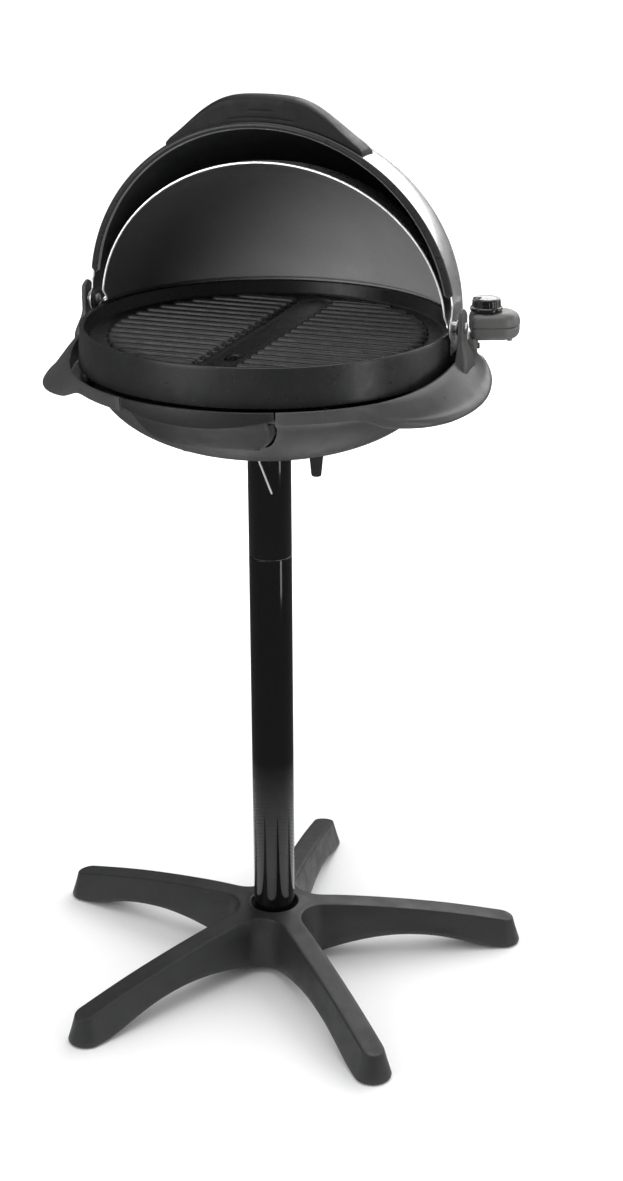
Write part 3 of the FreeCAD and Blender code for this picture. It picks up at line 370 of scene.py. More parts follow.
def star_base():
    b = Build()
    RF, HW, TIP = 33.0, 14.4, 311.0
    s36, c36 = math.sin(math.radians(36)), math.cos(math.radians(36))
    d = (RF + HW) / s36
    cx, cy = d * c36, d * s36
    half = []
    for k in range(11):
        a = math.radians(216 + 54 * k / 10)
        half.append((cx + RF * math.cos(a), cy + RF * math.sin(a), -math.cos(a), -math.sin(a)))
    K0 = 10
    for u in np.linspace(cx, TIP, 33)[1:]:
        half.append((u, HW, 0.0, 1.0))
    for k in range(1, 11):
        a = math.radians(90 - 9 * k)
        half.append((TIP + HW * math.cos(a), HW * math.sin(a), math.cos(a), math.sin(a)))
    half = np.array(half)
    H = len(half)
    low = half * np.array([1, -1, 1, -1])
    leg = np.vstack([low, half[-2::-1]])          # from one crotch round the tip to the other
    rho = np.hypot(leg[:, 0], leg[:, 1])
    zt, zb = z_top(rho), z_bot(rho)
    rows = [(-6.0, zt), (-2.4, zt - 0.02), (-1.2, zt - 0.25), (-0.45, zt - 0.75), (0.0, zt - 1.6), (0.5, zt - 3.4), (1.5, zt - 7.0), (2.7, zt - 11.5), (4.0, zt - 16.5)]
    z1, z2 = zt - 16.5, zb + 2.0
    for w in (0.25, 0.5, 0.75, 1.0):
        rows.append((4.0 + 5.3 * w, z1 + (z2 - z1) * w))
    rows += [(9.0, zb + 0.7), (8.2, zb), (5.4, zb), (4.8, zb + 0.6), (3.4, zb + 10.0), (-1.2, zt - 8.0), (-3.0, zt - 6.0), (-6.0, zt - 5.4)]
    for ang in LEGS:
        a = math.radians(ang)
        R = np.array([[math.cos(a), -math.sin(a)], [math.sin(a), math.cos(a)]])

        def put(uv, z):
            q = uv @ R.T
            return np.column_stack([q, z])
        P = np.stack([put(leg[:, :2] + leg[:, 2:] * (o if np.isscalar(o) else o[:, None]), z) for o, z in rows], 1)
        b.grid(P)
        for row, hub in ((0, True), (len(rows) - 1, False)):
            S, T = P[:H, row], P[::-1, row][:H]
            cols = np.stack([S[K0:] * (1 - w) + T[K0:] * w for w in (0, 0.25, 0.5, 0.75, 1.0)], 1)
            b.grid(cols)
            ring = np.vstack([S[:K0 + 1], cols[0][1:-1], T[:K0 + 1][::-1]])
            th = np.arctan2(ring[:, 1], ring[:, 0])
            if hub:
                rings = [ring]
                mid = 0.5 * (ring[:, :2] + 36.0 * np.column_stack([np.cos(th), np.sin(th)]))
                rings.append(np.column_stack([mid, 0.5 * (ring[:, 2] + 80.0)]))
                for r, z in ((34.6, 80.0), (33.4, 80.35), (32.4, 80.35), (31.4, 79.9), (30.9, 79.0), (30.5, 76.5), (29.6, 74.6), (28.2, 73.8), (27.35, 73.0), (27.3, 40.0)):
                    rings.append(np.column_stack([r * np.cos(th), r * np.sin(th), np.full_like(th, z)]))
            else:
                rings = [ring, np.column_stack([41.0 * np.cos(th), 41.0 * np.sin(th), np.full_like(th, 72.0)]), np.column_stack([42.0 * np.cos(th), 42.0 * np.sin(th), np.full_like(th, 12.0)]),
                         np.column_stack([41.0 * np.cos(th), 41.0 * np.sin(th), np.full_like(th, 10.2)]), np.column_stack([39.8 * np.cos(th), 39.8 * np.sin(th), np.full_like(th, 9.6)]),
                         np.column_stack([6.0 * np.cos(th), 6.0 * np.sin(th), np.full_like(th, 9.6)]), np.column_stack([6.0 * np.cos(th), 6.0 * np.sin(th), np.full_like(th, 17.0)])]
            b.grid(np.array(rings))
        # stiffening webs in the hollow legs
        for r in (136.5, 216.5):
            t, bt = float(z_top(r)) - 4.5, float(z_bot(r)) + 2.5
            out = []
            for du in (-2.4, -1.9, 1.9, 2.4):
                k = 0.5 if abs(du) > 2 else 0.0
                out.append(put(np.array([(r + du, -18.6), (r + du, 18.6), (r + du, 13.5), (r + du, -13.5)]), np.array([bt + k, bt + k, t, t])))
            b.grid(np.array(out), cv=True)
            b.poly(out[0])
            b.poly(out[-1])
        # seat for the pad under the foot
        c = put(np.array([(TIP, 0.0)]), np.array([0.0]))[0]
        b.revolve([(18.4, 2.3), (20.8, 2.3), (19.6, 6.0), (17.0, 9.8), (4.3, 9.8), (4.3, 8.4), (18.4, 8.4)], 40, centre=(c[0], c[1]))
    return b.done("star_base_shell", M["star"], "stand", "star_base", sharp=50)


star_base()


# ------------------------------------------------------------------------------------------------ post
def posts():
    b = Build()
    b.revolve(fillet([(25, 18.5), (27, 18.5), (27, 574.6), (25, 574.6)], [0.3, 0.4, 0.7, 0.3], 3, True), 160)
    b.done("post_tube_lower", M["post"], "stand", "lower_post", sharp=50)
    b = Build()
    b.revolve(fillet([(25, 575.4), (27, 575.4), (27, ZR - 108.0), (25, ZR - 108.0)], [0.3, 0.7, 0.4, 0.3], 3, True), 160)
    b.done("post_tube_upper", M["post"], "stand", "upper_post", sharp=50)


posts()


# ------------------------------------------------------------------------------------------------ bowl, feet, wire
def bowl_pt(t, off=0.0):
    c, s = math.cos(t), math.sin(t)
    r, z = 210.0 * c**0.8, -59.5 - 94.0 * s**1.13
    e = 1e-3
    dr = 210.0 * math.cos(t + e)**0.8 - r
    dz = -59.5 - 94.0 * math.sin(t + e)**1.13 - z
    n = math.hypot(dr, dz)
    return (r + off * dz / n, z - off * dr / n)


def panel_half(z):
    """half width of the drawer's front panel at height z"""
    return float(np.interp(-z, [50, 57, 65, 73, 82, 91, 96, 98.5, 100.5, 101.8, 102.5], [84, 84, 82.5, 81.5, 79.5, 74.5, 70.5, 67.5, 63.5, 59, 54]))


def bowl():
    b = Build()
    # one row lies at the sill of the drawer's mouth
    lo, hi = 0.0, math.pi / 2
    for _ in range(50):
        mid = (lo + hi) / 2
        lo, hi = (mid, hi) if bowl_pt(mid)[1] > -107.0 else (lo, mid)
    sill = lo
    ts = np.concatenate([np.linspace(math.radians(3.5), sill, 16), np.linspace(sill, math.radians(82.5), 40)[1:]])
    outer = np.array([(222.0, -62.1), (220.6, -63.2)] + [bowl_pt(t) for t in ts] + [(37.0, -153.55), (36.0, -153.2)])
    inner = np.array([(196.0, -62.1), (196.0, -64.0)] + [bowl_pt(t, 3.0) for t in ts] + [(37.0, -150.4), (36.0, -150.6)])
    inner[2:6, 0] = np.minimum(inner[2:6, 0], 206.0)
    sill_row = 2 + 15
    for k in range(2, sill_row + 1):         # the wall flares out towards the collar
        outer[k, 0] += 10.0 * float(sm((outer[k, 1] + 77.0) / 15.0))
    r_s = outer[sill_row, 0]

    def place(prof):
        out = []
        for k, (r, z) in enumerate(prof):
            rm = max(r, 94.0) if k <= sill_row else max(r_s, 94.0)
            tm = math.asin(min(0.98, (panel_half(z + 2.0) + 1.8) / rm)) if k <= sill_row else math.asin((panel_half(-105.0) + 1.8) / r_s)
            cols = np.concatenate([np.linspace(-tm, tm, 25), np.linspace(tm, 2 * math.pi - tm, 151)[1:-1]])
            out.append(np.column_stack([r * np.sin(cols), -r * np.cos(cols), np.full_like(cols, z + ZR)]))
        return np.array(out).transpose(1, 0, 2)
    O, I = place(outer), place(inner)

    def gone(i, j):
        return i < 24 and j < sill_row
    b.grid(O, cu=True, skip=gone)
    b.grid(I, cu=True, skip=gone)
    n = O.shape[0]
    for i in range(n):                       # top and bottom edges
        i2 = (i + 1) % n
        if not gone(i, 0):
            b.poly([O[i, 0], O[i2, 0], I[i2, 0], I[i, 0]])
        b.poly([O[i, -1], O[i2, -1], I[i2, -1], I[i, -1]])
        if i < 24:
            b.poly([O[i, sill_row], O[i2, sill_row], I[i2, sill_row], I[i, sill_row]])
    for i in (0, 24):
        for j in range(sill_row):
            b.poly([O[i, j], O[i, j + 1], I[i, j + 1], I[i, j]])
    b.done("bowl_shell", M["bowl"], "head", "bowl", sharp=45)

    b = Build()
    for a in (-36.0, 77.0, 190.0):
        c = (103.0 * math.cos(math.radians(a)), 103.0 * math.sin(math.radians(a)))
        prof = fillet([(0.01, -169.0), (5.9, -169.0), (6.9, -160.0), (8.0, -148.0), (8.6, -144.5), (8.6, -140.0), (0.01, -140.0)], [0, 1.8, 3, 3, 2, 0.3, 0], 4)
        b.revolve([(r, z + ZR) for r, z in prof], 36, centre=c, closed=False)
    b.done("bowl_feet", M["rubber"], "head", "table_feet")

    b = Build()
    path = fillet([(15.0, -72.0, ZR - 146.0), (15.0, -72.0, ZR - 155.0), (33.3, -79.4, ZR - 190.3)], 5.0, 8)
    path = np.vstack([path[:-1], path[-2] * 0.5 + path[-1] * 0.5, path[-1]])
    b.tube(path, 1.15, 14)
    b.done("bowl_wire", M["wire"], "head", "post_wire")


bowl()


# ------------------------------------------------------------------------------------------------ collar with wings and ears
zi_f = crom([0, 40, 47, 52, 57, 62, 68, 76, 84, 90, 96, 102, 110, 118, 180], [-46.5, -46.5, -46.5, -46.3, -45.2, -43.6, -41.0, -36.0, -30.2, -26.6, -24.5, -24.0, -24.0, -24.0, -24.0])
PHI = [0, 34, 40, 44, 48, 52, 57, 62, 68, 76, 84, 90, 96, 102, 108, 113, 118, 124, 180]
ro_f = crom(PHI, [241, 241, 241, 243, 247.5, 253.5, 261, 267.5, 272.5, 274.3, 274.4, 274, 272.5, 269.5, 262.5, 252.5, 243.5, 241, 241])
zo_f = crom(PHI, [-60, -60, -60.5, -61.5, -63.5, -66, -68.8, -70.8, -71.8, -71.5, -70, -67.5, -63, -57, -48.5, -41.5, -38, -37, -37])


def collar_section(phi):
    zi, ro, zo = float(zi_f(phi)), max(241.0, float(ro_f(phi))), float(zo_f(phi))
    k = (ro - 238.6) / (274.0 - 238.6)
    kk = float(sm((ro - 241.0) / 14.0))
    d = zi - (zo + 4.0)
    R = 238.6 + (np.array([239.6, 241.5, 248.0, 257.0, 265.5, 271.2, 274.0, 272.2, 265.0, 249.0, 240.4]) - 238.6) * k
    W = np.array([zi, zi - 0.03 * d, zi - 0.22 * d, zi - 0.56 * d, zi - 0.90 * d, zo + 2.4, zo - 2.0, zo - 5.6, zo - 6.2, zo - 4.0, min(-60.5, zo - 1.0)])
    plain = np.array([zi, zi - 0.2, zi - 0.6, zi - 1.5, zi - 4.0, (zi - 61) / 2, -57.0, -60.0, -61.4, -61.9, -62.0])
    R = R * kk + np.array([239.4, 240.0, 240.5, 240.9, 241.0, 241.0, 241.0, 240.9, 240.5, 239.5, 238.0]) * (1 - kk)
    Z = W * kk + plain * (1 - kk)
    wing = through(np.column_stack([R, Z]), 4)
    inner = fillet([(205.0, -62.0), (205.0, -59.0), (237.5, -59.0), (237.5, zi), (239.0, zi + 0.0)], [0, 0.6, 1.6, 0.9, 0], 4)
    return np.vstack([inner[:-1], wing, [[230.0, -62.0]]])


def collar():
    b = Build()
    G = 23.0
    right = np.concatenate([np.arange(G, 38, 2.3), np.arange(38, 126, 1.0), np.arange(126, 180.1, 2.25)])
    n0, n1 = 105.6, 116.4                       # recess for the control's neck, right side only
    cols = []
    for phi in right:
        cols.append((phi, collar_section(phi)))
    for phi in (n0 - 0.02, n0 + 0.02, n1 - 0.02, n1 + 0.02):
        cols.append((phi, collar_section(phi)))
    cols.sort(key=lambda c: c[0])
    rightcols = []
    for phi, s in cols:
        if n0 < phi < n1:
            s = s.copy()
            s[:, 1] = np.minimum(s[:, 1], -45.2)
        rightcols.append((phi, s))
    allcols = rightcols + [(360 - phi, collar_section(phi)) for phi in right[::-1][1:]]
    P = []
    for phi, s in allcols:
        a = math.radians(phi)
        P.append(np.column_stack([s[:, 0] * math.sin(a), -s[:, 0] * math.cos(a), s[:, 1] + ZR]))
    P = np.array(P)
    b.grid(P, cv=True)
    b.poly(P[0])
    b.poly(P[-1])
    b.revolve(fillet([(205.0, ZR - 62.0), (229.0, ZR - 62.0), (229.0, ZR - 59.0), (205.0, ZR - 59.0)], 0.4, 2, True), 40, a0=270 - G - 0.3, a1=270 + G + 0.3)
    # ears: upright lugs that carry the pivots
    zs = np.concatenate([np.linspace(-44, -6, 22), np.linspace(-4, 20, 10), 20 + 10.5 * np.sin(np.radians(np.array([8, 17, 26, 35, 44, 53, 61, 69, 76, 82, 86.5])))])
    for sx in (1, -1):
        rings = []
        for z in zs:
            if z > 20:
                hw = 10.5 * math.sqrt(max(0.0, 1 - ((z - 20) / 10.5)**2))
            else:
                hw = 10.5 + (20 - z) * 0.03
            fl = float(sm((-4 - z) / 34.0))
            hw += 10.0 * fl
            x1 = 244.0 + 8.0 * fl
            x0 = 237.6
            inset = 2.6 * float(sm((z - 22) / 9.5))
            x1 -= inset
            x0 += 0.35 * inset
            rc = min(3.0 + 3 * fl, hw * 0.98, (x1 - x0) * 0.49)
            ring = fillet([(x0, 5 - hw), (x1, 5 - hw), (x1, 5 + hw), (x0, 5 + hw)], [min(1.5, rc), rc, rc, min(1.5, rc)], 6, True)
            rings.append(np.column_stack([sx * ring[:, 0], ring[:, 1], np.full(len(ring), z + ZR)]))
        b.grid(np.array(rings), cv=True)
        b.fan(rings[0])
        b.fan(rings[-1])
    b.done("collar_ring", M["collar"], "head", "collar", sharp=48)


collar()


# ------------------------------------------------------------------------------------------------ drawer front
def drawer_front():
    b = Build()
    FA = math.degrees(math.asin(92.4 / 241.0))
    phis = np.linspace(-FA, FA, 61)
    rows = []
    for p in phis:
        zl = -56.0 - 11.0 * (1 - (p / FA)**2)
        s = fillet([(237.7, -46.4), (241.0, -46.4), (241.7, zl + 1.0), (241.0, zl - 0.2), (237.7, zl + 0.6)], [0.5, 1.2, 1.4, 0.9, 0.4], 3, True)
        a = math.radians(p)
        rows.append(np.column_stack([s[:, 0] * math.sin(a), -s[:, 0] * math.cos(a), s[:, 1] + ZR]))
    b.grid(np.array(rows), cv=True)
    b.poly(rows[0])
    b.poly(rows[-1])
    prof = through([(238.6, -50.0), (238.0, -57.0), (232.0, -65.0), (224.0, -73.0), (216.5, -82.0), (209.0, -91.0), (202.0, -98.5), (197.0, -102.5)], 6)
    us = np.concatenate([[-1, -0.992, -0.975], np.linspace(-0.95, 0.95, 45), [0.975, 0.992, 1]])
    O, I = [], []
    for r, z in prof:
        half = panel_half(z)
        po, pi_ = [], []
        for u in us:
            x = u * half
            rr = r - 1.6 * max(0.0, (abs(u) - 0.955) / 0.045)**2       # softened upright edges
            po.append((x, -math.sqrt(rr * rr - x * x), z + ZR))
            x = u * (half - 2.2)
            pi_.append((x, -math.sqrt((rr - 2.2)**2 - x * x), z + 0.6 + ZR))
        O.append(po)
        I.append(pi_)
    O, I = np.array(O), np.array(I)
    b.grid(O)
    b.grid(I)
    b.grid(np.stack([O[0], I[0]]))

    def edge(G):
        return np.concatenate([G[:, 0], G[-1, 1:], G[-2::-1, -1]])
    lo, li = edge(O), edge(I)
    # walls from the panel's edge back into the bowl's mouth
    back, back_in = lo.copy(), li.copy()
    for q, d in ((back, 7.0), (back_in, 7.0)):
        r_b = np.interp(ZR - q[:, 2], [50, 58, 64, 70, 76, 82, 88, 94, 100, 106], [227, 226, 218.5, 212.2, 206.5, 203, 199, 194.5, 189.6, 183.3]) - d
        r_b = 230.2 + (r_b - 230.2) * np.interp(ZR - q[:, 2], [64.0, 66.0], [0.0, 1.0])       # clear of the collar's floor above
        q[:, 1] = -np.sqrt(r_b**2 - q[:, 0]**2)
    b.grid(np.stack([lo, back, back_in, li]))
    for k in (0, -1):
        b.poly([lo[k], back[k], back_in[k], li[k]])
    b.done("drawer_front", M["tray"], "drawer", "drip_tray_front", sharp=48)

    # pan behind the panel
    b = Build()
    P = np.array(prof)

    def loop(z, t):
        h = panel_half(min(z, -62.0)) - 3.0 - t
        rf = float(np.interp(-z, -P[:, 1], P[:, 0])) - 5.0 - t
        yb = -38.0 - t
        f = np.linspace(-1, 1, 31)
        front = np.column_stack([f * h, -np.sqrt(rf**2 - (f * h)**2)])
        g = np.linspace(0, 1, 24)[1:-1]
        right = np.column_stack([np.full_like(g, h), front[-1, 1] + (yb - front[-1, 1]) * g])
        rear = np.column_stack([np.linspace(h, -h, 24), np.full(24, yb)])
        xy = np.vstack([front, right, rear, right[::-1] * (-1, 1)])
        return np.column_stack([xy, np.full(len(xy), z + ZR)])
    zs = [-96.0, -95.2, -93.5, -90.0, -86.0, -82.0, -78.0, -74.0, -70.0, -67.0]
    side = [loop(z, 1.2 if k == 0 else 0.3 if k == 1 else 0.0) for k, z in enumerate(zs)]
    lip = [loop(-66.0, -1.2), loop(-65.0, -1.2), loop(-65.0, 1.0)]
    inside = [loop(min(z + 1.6, -66.0), 1.6 if k > 1 else 2.4) for k, z in reversed(list(enumerate(zs)))]
    rows = np.array(side + lip + inside)
    b.grid(rows.transpose(1, 0, 2), cu=True)
    b.fan(rows[0], centre=(0, -110.0, ZR - 96.0))
    b.fan(rows[-1], centre=(0, -110.0, ZR - 94.4))
    b.done("drawer_pan", M["pan"], "drawer", "drip_tray", sharp=45)


drawer_front()


# ------------------------------------------------------------------------------------------------ cooking plate
def grill_plate():
    b = Build()
    F = -17.0
    # rim, wall, skirt, underside
    prof = fillet([(208.0, F), (213.6, F), (218.9, -1.0), (221.0, 0.0), (224.6, 0.0), (225.0, -5.0), (227.5, -46.0), (222.0, -46.0), (220.6, -27.5), (218.5, -25.5), (210.0, -24.0)],
                  [0, 3.5, 1.5, 0.8, 1.6, 6, 0.7, 0.6, 1.0, 2.0, 0], 5)
    a = np.sort(np.concatenate([np.linspace(0, 360, 200, endpoint=False), [21 - 4.8, 21 + 4.8]]))
    ar = np.radians(a)
    P = np.stack([np.outer(np.cos(ar), prof[:, 0]), np.outer(np.sin(ar), prof[:, 0]), np.outer(np.ones_like(ar), prof[:, 1] + ZR)], -1)
    # port for the probe and cold pins: the skirt is open from its lower edge upwards
    jo = int(np.argmin(np.abs(prof[:, 1] + 27.0) + 100 * (prof[:, 0] < 224)))
    n_out = [j for j in range(len(prof)) if prof[j, 0] > 221.5 and prof[j, 1] < -20]
    wall = np.where((prof[:, 0] > 224.5) & (prof[:, 1] < -4))[0]
    top_j = wall[0]
    # extra row on the wall at the top of the port
    r_at = 225.0 + 2.5 * (25.5 - 5.0) / 41.0
    k = max(j for j in range(len(prof)) if prof[j, 0] > 224.5 and prof[j, 1] > -25.5) + 1
    prof = np.vstack([prof[:k], [[r_at, -25.5]], prof[k:]])
    P = np.stack([np.outer(np.cos(ar), prof[:, 0]), np.outer(np.sin(ar), prof[:, 0]), np.outer(np.ones_like(ar), prof[:, 1] + ZR)], -1)
    j_in = max(j for j in range(len(prof)) if prof[j, 0] < 222.5 and prof[j, 1] < -26.0)
    ia = [i for i in range(len(a)) if 21 - 4.81 <= a[i] < 21 + 4.79]
    b.grid(P, cu=True, skip=lambda i, j: i in ia and k <= j < j_in)
    for i in (ia[0], ia[-1] + 1):
        b.poly([P[i, j] for j in range(k, j_in + 1)])
    for i in ia:
        b.poly([P[i, k], P[i + 1, k], P[i + 1, j_in], P[i, j_in]])
    # underside
    ring = np.stack([210.0 * np.cos(ar), 210.0 * np.sin(ar), np.full_like(ar, ZR - 24.0)], 1)
    b.fan(ring, centre=(0, 0, ZR - 24.0))
    # floor between the moat and the middle channel, the channel and its drain slot
    CH, D, DY = 19.0, 2.5, -111.0
    t = np.linspace(0, 2 * math.pi, 240, endpoint=False)

    def stadium(hw, hl, cy=0.0):
        """Points of a long round-ended outline at the polar angles t seen from its middle."""
        out = []
        for q in t:
            dx, dy = math.cos(q), math.sin(q)
            s = hw / abs(dx) if abs(dx) > 1e-9 else 1e9
            if abs(s * dy) <= hl:
                out.append((s * dx, s * dy))
            else:
                # on the round end
                sy = math.copysign(hl, dy)
                B = -dy * sy
                Cc = sy * sy - hw * hw
                s = -B + math.sqrt(max(0.0, B * B - Cc))
                out.append((s * dx, s * dy))
        return np.array(out)

    def ring3(xy, z, cy=0.0):
        return np.column_stack([xy[:, 0], xy[:, 1] + cy, np.full(len(xy), z + ZR)])
    circ = 208.0 * np.column_stack([np.cos(t), np.sin(t)])
    st = [stadium(CH + o, 176.0) for o in (1.6, 0.7, 0.1, -0.5, -1.3, -2.6)]
    zz = [F, F - 0.25, F - 0.9, F - 1.7, F - 2.25, F - D]
    rows = [ring3(circ, F), ring3(0.5 * circ + 0.5 * st[0], F), ring3(st[0], F)] + [ring3(s, z) for s, z in zip(st[1:], zz[1:])]
    sl = [stadium(6.0 + o, 8.0) for o in (1.6, 0.6, 0.0, 0.0)]
    slz = [F - D, F - D - 0.35, F - D - 1.4, -24.6]
    rows.append(ring3(0.55 * st[-1] + 0.45 * (sl[0] + np.array([0, DY])), F - D))
    rows += [ring3(s, z, DY) for s, z in zip(sl, slz)]
    b.grid(np.array(rows), cv=True)
    # spout under the slot
    b.revolve(fillet([(16.0, ZR - 25.0), (18.0, ZR - 25.0), (18.0, ZR - 62.0), (16.0, ZR - 62.0)], 0.4, 2, True), 48, centre=(0.0, DY))
    # ribs: rounded bars with flared feet and rounded noses
    half_sec = [(-7.2, 0.0), (-6.0, 0.12), (-5.1, 0.7), (-4.5, 1.9), (-4.0, 3.6), (-3.6, 4.9), (-3.0, 5.9), (-2.1, 6.4), (-1.0, 6.58)]
    sec = np.array(half_sec + [(0, 6.62)] + [(-y, z) for y, z in reversed(half_sec)])
    for kx in range(16):
        y = (kx - 7.5) * 21.56
        hx = math.sqrt(193.0**2 - y * y)
        for sx in (-1, 1):
            x0, x1 = CH + 4.0, hx
            # rounded ends: the section shrinks towards each end along a quarter ellipse
            e0 = [(x0 + 6.5 * (1 - math.cos(math.radians(q))), math.sin(math.radians(q))) for q in (4, 14, 26, 38, 50, 62, 75, 90)]
            e1 = [(x1 - 9.0 * (1 - math.cos(math.radians(q))), math.sin(math.radians(q))) for q in (90, 75, 62, 50, 38, 26, 14, 4)]
            mids = [(x, 1.0) for x in np.linspace(x0 + 6.5, x1 - 9.0, max(4, int((x1 - x0) / 18)))[1:-1]]
            G = []
            for x, s in e0 + mids + e1:
                G.append(np.column_stack([np.full(len(sec), sx * x), y + sec[:, 0] * (0.35 + 0.65 * s), ZR + F - 0.02 + sec[:, 1] * s]))
            b.grid(np.array(G))
            for g in (G[0], G[-1]):
                b.poly(g)
    b.done("cooking_plate", M["plate"], "head", "grill_plate", sharp=45)


grill_plate()


# ------------------------------------------------------------------------------------------------ fixed half dome
def rear_hood():
    b = Build()
    A, C, T, PY, PZ, SK = 220.6, 186.0, 1.2, 5.0, 8.0, 228.2
    xs = np.concatenate([np.linspace(0.0, 205.0, 60), np.linspace(206.5, 220.3, 16)])
    prof_o, prof_i = [], []
    for x in xs:
        r = math.sqrt(PY * PY + x * x)
        z = C * math.sqrt(max(0.0, 1 - (r / A)**2))
        if z < 8.0:
            continue
        n = np.array([r / A**2, z / C**2])
        n /= np.linalg.norm(n)
        prof_o.append((r, z))
        prof_i.append((r - T * n[0], z - T * n[1]))
    tail = fillet([prof_o[-1], (220.6, 4.4), (SK, 4.4), (SK, -25.0)], [0, 2.2, 2.4, 0], 6)[1:]
    taili = fillet([prof_i[-1], (219.4, 3.2), (SK - T, 3.2), (SK - T, -25.0)], [0, 3.0, 1.4, 0], 6)[1:]
    extra = np.linspace(-1.0, -25.0, 14)
    tail = np.vstack([tail[:-1], [(SK, z) for z in extra]])
    taili = np.vstack([taili[:-1], [(SK - T, z) for z in extra]])
    prof_o, prof_i = np.vstack([prof_o, tail]), np.vstack([prof_i, taili])

    def edge_y(z):
        d = abs(z - PZ)
        return PY + (10.0 * math.sqrt(max(0.0, 1 - (d / 10.0)**2)) if d < 10 else 0.0)
    n = 97

    def surf(prof, src):
        rows = []
        for (r, z), (_, zs) in zip(prof, src):
            y = min(edge_y(zs), r)
            a = math.asin(min(1.0, y / r))
            th = np.linspace(a, math.pi - a, n)
            rows.append(np.column_stack([r * np.cos(th), r * np.sin(th), np.full(n, z + ZR)]))
        return np.array(rows)
    O, I = surf(prof_o, prof_o), surf(prof_i, prof_o)
    b.grid(O, mat=1)
    b.grid(I, mat=0)
    for k in (0, -1):
        b.grid(np.stack([O[:, k], I[:, k]]), mat=2)
    b.grid(np.stack([O[-1], I[-1]]), mat=2)
    b.grid(np.stack([O[0], I[0]]), mat=2)
    # rolled bright edge along the cut
    mid = 0.5 * (O + I)
    for k in (0, -1):
        path = mid[1:, k]
        keep = [path[0]]
        for q in path[1:]:
            if np.linalg.norm(q - keep[-1]) > 1.2:
                keep.append(q)
        if k == 0:
            right = keep
        else:
            left = keep
    full = np.array(left[::-1] + [[0.0, 5.0, ZR + C - 0.7]] + right)
    b.tube(full, 1.45, 10, mat=2)
    return b.done("fixed_half_dome", [M["hood_in"], M["hood_out"], M["edge"]], "head", "rear_hood", sharp=50)


DOME = rear_hood()


# ------------------------------------------------------------------------------------------------ moving hood
HA, HB, HT, PY, PZ = 232.2, 225.0, 1.6, 5.0, 8.0
B0, B1 = 85.0, 177.5


def hood_pt(x, rho, beta):
    c, s = math.cos(math.radians(beta)), math.sin(math.radians(beta))
    return (x, PY - rho * c, ZR + PZ + rho * s)


E2 = np.array([0.0, -math.cos(math.radians(B0)), math.sin(math.radians(B0))])
E3 = np.array([0.0, math.sin(math.radians(B0)), math.cos(math.radians(B0))])
HC = np.array([0.0, PY, ZR + PZ])


def at_hood(x, e2, e3):
    return HC + np.array([x, 0, 0]) + E2 * e2 + E3 * e3


def front_hood():
    b = Build()
    betas = np.concatenate([[B0, B0 + 0.15, B0 + 0.4], np.linspace(B0 + 1.5, B1 - 1.5, 52), [B1 - 0.4, B1 - 0.15, B1]])

    def shell(a, bb):
        t0 = math.asin(28.0 / bb)
        ts = np.linspace(t0, math.pi - t0, 131)
        return np.array([[hood_pt(a * math.cos(t), bb * math.sin(t), be) for t in ts] for be in betas])
    O, I = shell(HA, HB), shell(HA - HT, HB - HT)
    b.grid(O, mat=0)
    # the lining's first rows inside the front edge take the light grey hem finish, a painted highlight standing in for
    # the lit band inside the rim
    b.grid(I[:5], mat=3)
    b.grid(I[4:], mat=1)
    for k in (0, -1):
        b.grid(np.stack([O[k], I[k]]), mat=2)
    xo, xi = O[0, 0, 0], I[0, 0, 0]
    # side plates round the pivots
    th = np.concatenate([np.linspace(B0, B1, 40), np.linspace(B1, B0 + 360, 60)[1:-1]])

    def outline(q):
        if B0 - 1e-6 <= q <= B1 + 1e-6:
            return 28.0
        d = min(q - B1, B0 + 360 - q)
        return 16.0 + 12.0 * (1 - float(sm(d / 28.0)))
    for s in (1, -1):
        for x, m in ((xo, 0), (xi, 1)):
            G = []
            for q in th:
                R = outline(q)
                G.append([hood_pt(s * x, r, q) for r in (6.5, 7.0, 0.5 * (7 + R), R - 0.4, R)])
            b.grid(np.array(G), cu=True, mat=m)
        G, Gh = [], []
        for q in th:
            R = outline(q)
            if not (B0 + 0.01 < q < B1 - 0.01):
                G.append([hood_pt(s * xo, R, q), hood_pt(s * xi, R, q)])
            Gh.append([hood_pt(s * xo, 6.5, q), hood_pt(s * xi, 6.5, q)])
        b.grid(np.array(G[1:] + G[:1]), mat=2)
        b.grid(np.array(Gh), cu=True, mat=2)
        # raised boss round the bush
        prof = fillet([(6.6, 0.0), (6.6, 2.0), (12.5, 2.0), (13.6, 0.0)], [0, 0.3, 0.7, 0], 3)
        G = []
        for q in np.linspace(0, 360, 48, endpoint=False):
            G.append([hood_pt(s * (xi - h), r, q) for r, h in prof])
        b.grid(np.array(G), cu=True, mat=1)
    b.done("moving_hood", [M["hood_out"], M["hood_lining"], M["edge"], M["hem"]], "hood", "front_hood", sharp=40)

    # rolled rim in front of the sheet's edge
    b = Build()
    t0 = math.radians(9.0)
    ts = np.linspace(t0, math.pi - t0, 150)
    A1, B1r = 230.0, 224.4
    ang = np.linspace(0, 2 * math.pi, 20, endpoint=False)
    rings = []
    for i, t in enumerate(ts):
        n = np.array([math.cos(t) / A1, math.sin(t) / B1r])
        n /= np.linalg.norm(n)
        end = min(t - t0, math.pi - t0 - t)
        k = math.sqrt(max(0.02, 1 - max(0.0, 1 - end / 0.020)**2))
        hr = 4.0 + 1.6 * math.cos(t)**2
        ring = []
        for q in ang:
            u, w = hr * k * math.cos(q) - (hr - 3.7), 2.75 * k * math.sin(q)
            ring.append(at_hood(A1 * math.cos(t) + n[0] * u, B1r * math.sin(t) + n[1] * u, -2.75 + w))
        rings.append(ring)
    R = np.array(rings)
    # the rim's inner half takes the light grey metal: a painted highlight along the bright band of the rim
    b.grid(R[:, 7:14], mat=1)
    b.grid(np.concatenate([R[:, 13:], R[:, :8]], 1))
    b.fan(rings[0])
    b.fan(rings[-1])
    b.done("hood_rim_roll", [M["rim"], M["rim_in"]], "hood", "hood_rim")


front_hood()


